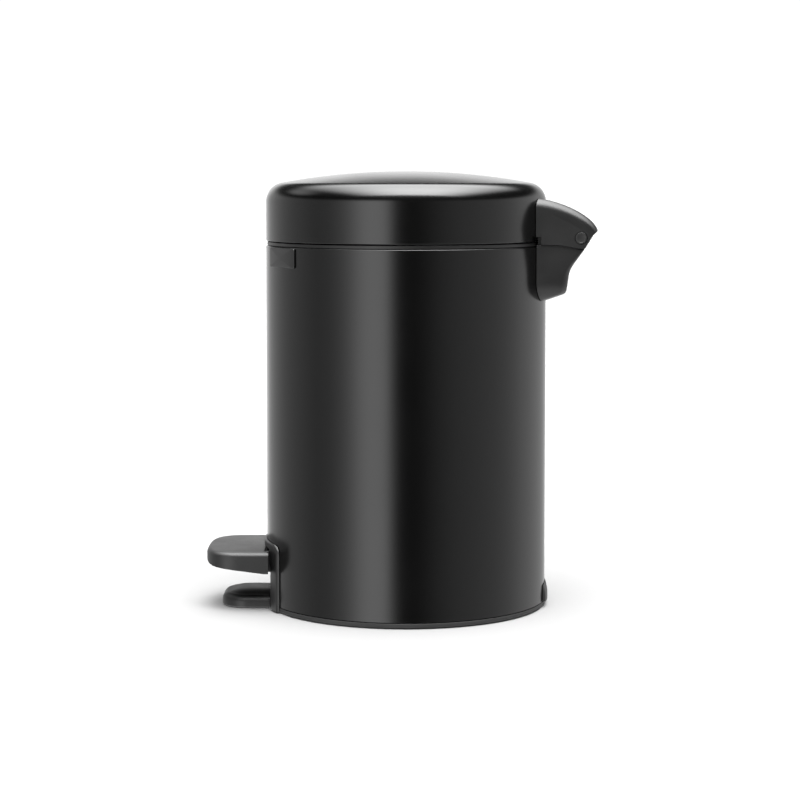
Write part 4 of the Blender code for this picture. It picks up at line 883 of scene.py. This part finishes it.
def bail():
    """The bucket's wire handle: a circle carried along a half ring whose ends turn in to the ears."""
    straight = BAIL_RADIUS - BAIL_BEND
    peg = straight - BAIL_EAR_GAP - EAR_THICKNESS - 2 * CLEAR
    lean = math.degrees(math.asin(BAIL_BEND / BAIL_RADIUS)) + 2
    turn_in = arc((straight, -BAIL_BEND), BAIL_BEND, 75, 15, 8)
    right = np.vstack([line((peg, 0), (straight - 0.2 * MM, 0), 2), turn_in])
    ring = arc((0, 0), BAIL_RADIUS, -lean, lean - 180, 96)
    route = np.vstack([right, ring, np.flip(right * (-1, 1), 0)])
    run = np.gradient(route, axis=0)
    run /= np.linalg.norm(run, axis=1, keepdims=True)
    side = np.column_stack([-run[:, 1], run[:, 0]])
    turns = np.linspace(0, math.tau, 20, endpoint=False)
    flat = route[:, None, :] + side[:, None, :] * (BAIL_WIRE * np.cos(turns))[None, :, None]
    height = BAIL_HEIGHT + BAIL_WIRE * np.sin(turns) + np.zeros((len(route), 1))
    wire = skin("bucket_bail", np.dstack([flat, height]), wrap_columns=True, caps=True)
    return dress(wire, STEEL, "bright_steel", "bail", "bucket_handle")


# ---------------------------------------------------------------- finishes on the frame's own pieces


def finish_inner_pieces():
    """Every node that keeps its own shape takes the finish of its slot."""
    by_slot = {"coated_steel": COAT, "bright_steel": STEEL, "black_plastic": BLACK}
    by_slot |= {"grey_plastic": GREY, "soft_black": SOFT}
    for part in frame["record"]["subparts"]:
        materials = frame["nodes"][part["node"]].data.materials
        materials.clear()
        materials.append(by_slot[part["material_slot"]])


# ---------------------------------------------------------------- stage


def floor():
    """A large round floor, its rings growing outwards as squares."""
    reach = 30.0
    radius = reach * np.linspace(0, 1, 12)[:, None] ** 2
    turns = np.linspace(0, math.tau, 64, endpoint=False)
    grid = np.stack([radius * np.cos(turns), radius * np.sin(turns), 0 * radius + 0 * turns], axis=-1)
    ground = skin("studio_floor", grid, wrap_columns=True)
    look, _, shader = new_material("studio_floor", 0.9)
    shader.inputs["Base Color"].default_value = (FLOOR_TONE, FLOOR_TONE, FLOOR_TONE, 1)
    shader.inputs["Specular IOR Level"].default_value = 0.0
    ground.data.materials.append(look)
    ground.visible_glossy = False


# The studio as the bin sees it round the horizon: degrees from the camera's side, then brightness.
# Minus is towards the pedal. A tall soft box stands beside the camera, and the rest is pale paper.
ROUND_THE_ROOM = (
    (-180, 1.5), (-165, 1.2), (-150, 0.75), (-118, 0.62), (-95, 0.56), (-77, 0.44), (-64, 0.56), (-53, 0.92),
    (-45, 1.5), (-37, 2.4), (-30, 2.8), (-20, 2.8), (-16, 2.5), (-11, 0.8), (-7, 0.1), (0, 0.03), (8, 0.05),
    (16, 0.13), (24, 0.26), (40, 0.46), (60, 0.6), (78, 0.72), (95, 0.88), (108, 1.0), (125, 0.9),
    (150, 0.65), (165, 0.8), (180, 1.5),
)
BRIGHTEST = 3.0  # the ramp holds each level as a share of this
DARKEST = 0.02
PAPER = 1.05  # the background as the camera sees it
RING_FADE = (12.0, 22.0)  # degrees up over which the ring fades out
CEILING_LIGHT = 16.0
CEILING_BACK_SHARE = 0.5  # the box overhead is dimmer at the back
CEILING_SLOPE = (-0.6, 0.3)  # x over z from which it brightens towards the front, and where it is brightest
CEILING_ENDS = (-1.3, -0.55, 0.75, 1.0)  # x over z where it begins, is full, starts to fade and ends
CEILING_MIDDLE = 0.12  # y over z
CEILING_SIDE = (0.1, 1.15)  # how far from its middle it starts to fade, and ends
SIDE_BOX = (-0.66, -1.32)  # x and y over z of the small box
SIDE_BOX_FADE = (0.1, 0.8)
SIDE_BOX_LIGHT = 1.3
FLOOR_TONE = 0.248
FLOOR_GLOW = (0.3, 0.7, 1.0)  # how far down the pale floor begins to show, then fills, and its light
CAMERA_PLACE = (1.3582, -0.0037, 0.2668)
CAMERA_PITCH = 4.0
CAMERA_LENS = 99.204
CAMERA_SHIFT = -0.0923


def math_node(tree, operation, *values):
    """A Math node fed by sockets or plain numbers."""
    node = tree.nodes.new("ShaderNodeMath")
    node.operation = operation
    for place, value in enumerate(values):
        if isinstance(value, (int, float)):
            node.inputs[place].default_value = value
        else:
            tree.links.new(value, node.inputs[place])
    return node.outputs[0]


def smooth_step(tree, value, low, high):
    """0 below low, 1 above high, and a smooth rise between."""
    node = tree.nodes.new("ShaderNodeMapRange")
    node.interpolation_type = "SMOOTHSTEP"
    node.inputs["From Min"].default_value = low
    node.inputs["From Max"].default_value = high
    tree.links.new(value, node.inputs["Value"])
    return node.outputs["Result"]


def fade(tree, value, low, high):
    """1 below low, 0 above high, and a smooth fall between."""
    return math_node(tree, "SUBTRACT", 1.0, smooth_step(tree, value, low, high))


def studio_light():
    """The room's brightness by direction: a ring of values round the horizon that fades out upwards, and
    two soft boxes on the plane one unit up, where x over z and y over z give a direction's place. The
    large one is a rectangle, and the small one a disc behind it, on the pedal's side."""
    world = bpy.data.worlds.new("studio")
    bpy.context.scene.world = world
    world.use_nodes = True
    tree = world.node_tree
    tree.nodes.clear()
    place = tree.nodes.new("ShaderNodeTexCoord")
    split = tree.nodes.new("ShaderNodeSeparateXYZ")
    tree.links.new(place.outputs["Generated"], split.inputs[0])
    x, y, z = split.outputs
    share = math_node(tree, "MULTIPLY_ADD", math_node(tree, "ARCTAN2", y, x), 1 / math.tau, 0.5)
    ramp = tree.nodes.new("ShaderNodeValToRGB")
    ramp.color_ramp.interpolation = "LINEAR"
    tree.links.new(share, ramp.inputs[0])
    stops = ramp.color_ramp.elements
    while len(stops) > 1:
        stops.remove(stops[-1])
    for number, (angle, level) in enumerate(ROUND_THE_ROOM):
        where = angle / 360 + 0.5
        stop = stops[0] if number == 0 else stops.new(where)
        stop.position = where
        stop.color = (level / BRIGHTEST,) * 3 + (1,)
    ring = math_node(tree, "MULTIPLY", ramp.outputs["Color"], BRIGHTEST)
    ring = math_node(tree, "MULTIPLY", ring, fade(tree, z, *np.sin(np.radians(RING_FADE))))

    above = math_node(tree, "MAXIMUM", z, 0.001)
    across, along = math_node(tree, "DIVIDE", x, above), math_node(tree, "DIVIDE", y, above)
    start, full, fades, end = CEILING_ENDS
    box = math_node(tree, "MULTIPLY", smooth_step(tree, across, start, full), fade(tree, across, fades, end))
    reach = math_node(tree, "ABSOLUTE", math_node(tree, "SUBTRACT", along, CEILING_MIDDLE))
    box = math_node(tree, "MULTIPLY", box, fade(tree, reach, *CEILING_SIDE))
    back = CEILING_LIGHT * CEILING_BACK_SHARE
    slope = smooth_step(tree, across, *CEILING_SLOPE)
    level = math_node(tree, "MULTIPLY_ADD", slope, CEILING_LIGHT - back, back)
    box = math_node(tree, "MULTIPLY", box, level)
    far_x = math_node(tree, "POWER", math_node(tree, "SUBTRACT", across, SIDE_BOX[0]), 2.0)
    far_y = math_node(tree, "POWER", math_node(tree, "SUBTRACT", along, SIDE_BOX[1]), 2.0)
    away = math_node(tree, "SQRT", math_node(tree, "ADD", far_x, far_y))
    disc = math_node(tree, "MULTIPLY", fade(tree, away, *SIDE_BOX_FADE), SIDE_BOX_LIGHT)
    total = math_node(tree, "ADD", ring, math_node(tree, "ADD", box, disc))
    below = smooth_step(tree, math_node(tree, "MULTIPLY", z, -1.0), *FLOOR_GLOW[:2])
    total = math_node(tree, "MULTIPLY_ADD", below, FLOOR_GLOW[2], total)
    total = math_node(tree, "ADD", total, DARKEST)
    light = tree.nodes.new("ShaderNodeBackground")
    tree.links.new(total, light.inputs["Strength"])
    paper = tree.nodes.new("ShaderNodeBackground")
    paper.inputs["Strength"].default_value = PAPER
    for background in (light, paper):
        background.inputs["Color"].default_value = (1, 1, 1, 1)
    kind = tree.nodes.new("ShaderNodeLightPath")
    mix = tree.nodes.new("ShaderNodeMixShader")
    tree.links.new(kind.outputs["Is Camera Ray"], mix.inputs[0])
    tree.links.new(light.outputs[0], mix.inputs[1])
    tree.links.new(paper.outputs[0], mix.inputs[2])
    output = tree.nodes.new("ShaderNodeOutputWorld")
    tree.links.new(mix.outputs[0], output.inputs["Surface"])


def camera():
    """A long lens beside the bin, a little above its lid."""
    lens = bpy.data.cameras.new("camera")
    lens.lens = CAMERA_LENS
    lens.sensor_width = 36.0
    lens.shift_y = CAMERA_SHIFT
    lens.clip_start = 0.05
    lens.clip_end = 100.0
    eye = bpy.data.objects.new("camera", lens)
    bpy.context.scene.collection.objects.link(eye)
    eye.location = CAMERA_PLACE
    eye.rotation_euler = (math.radians(90 - CAMERA_PITCH), 0, math.radians(90))
    bpy.context.scene.camera = eye


body_shell()
lid_cap()
lid_liner()
top_ring()
floor_ring()
badge()
pedal_frame()
front_foot()
rear_tab()
hinge_cover()
hinge_base()
pin_caps()
pedal_pad()
inner_bucket()
bail()
finish_inner_pieces()
floor()
studio_light()
camera()
bpy.context.scene.view_settings.view_transform = "Standard"
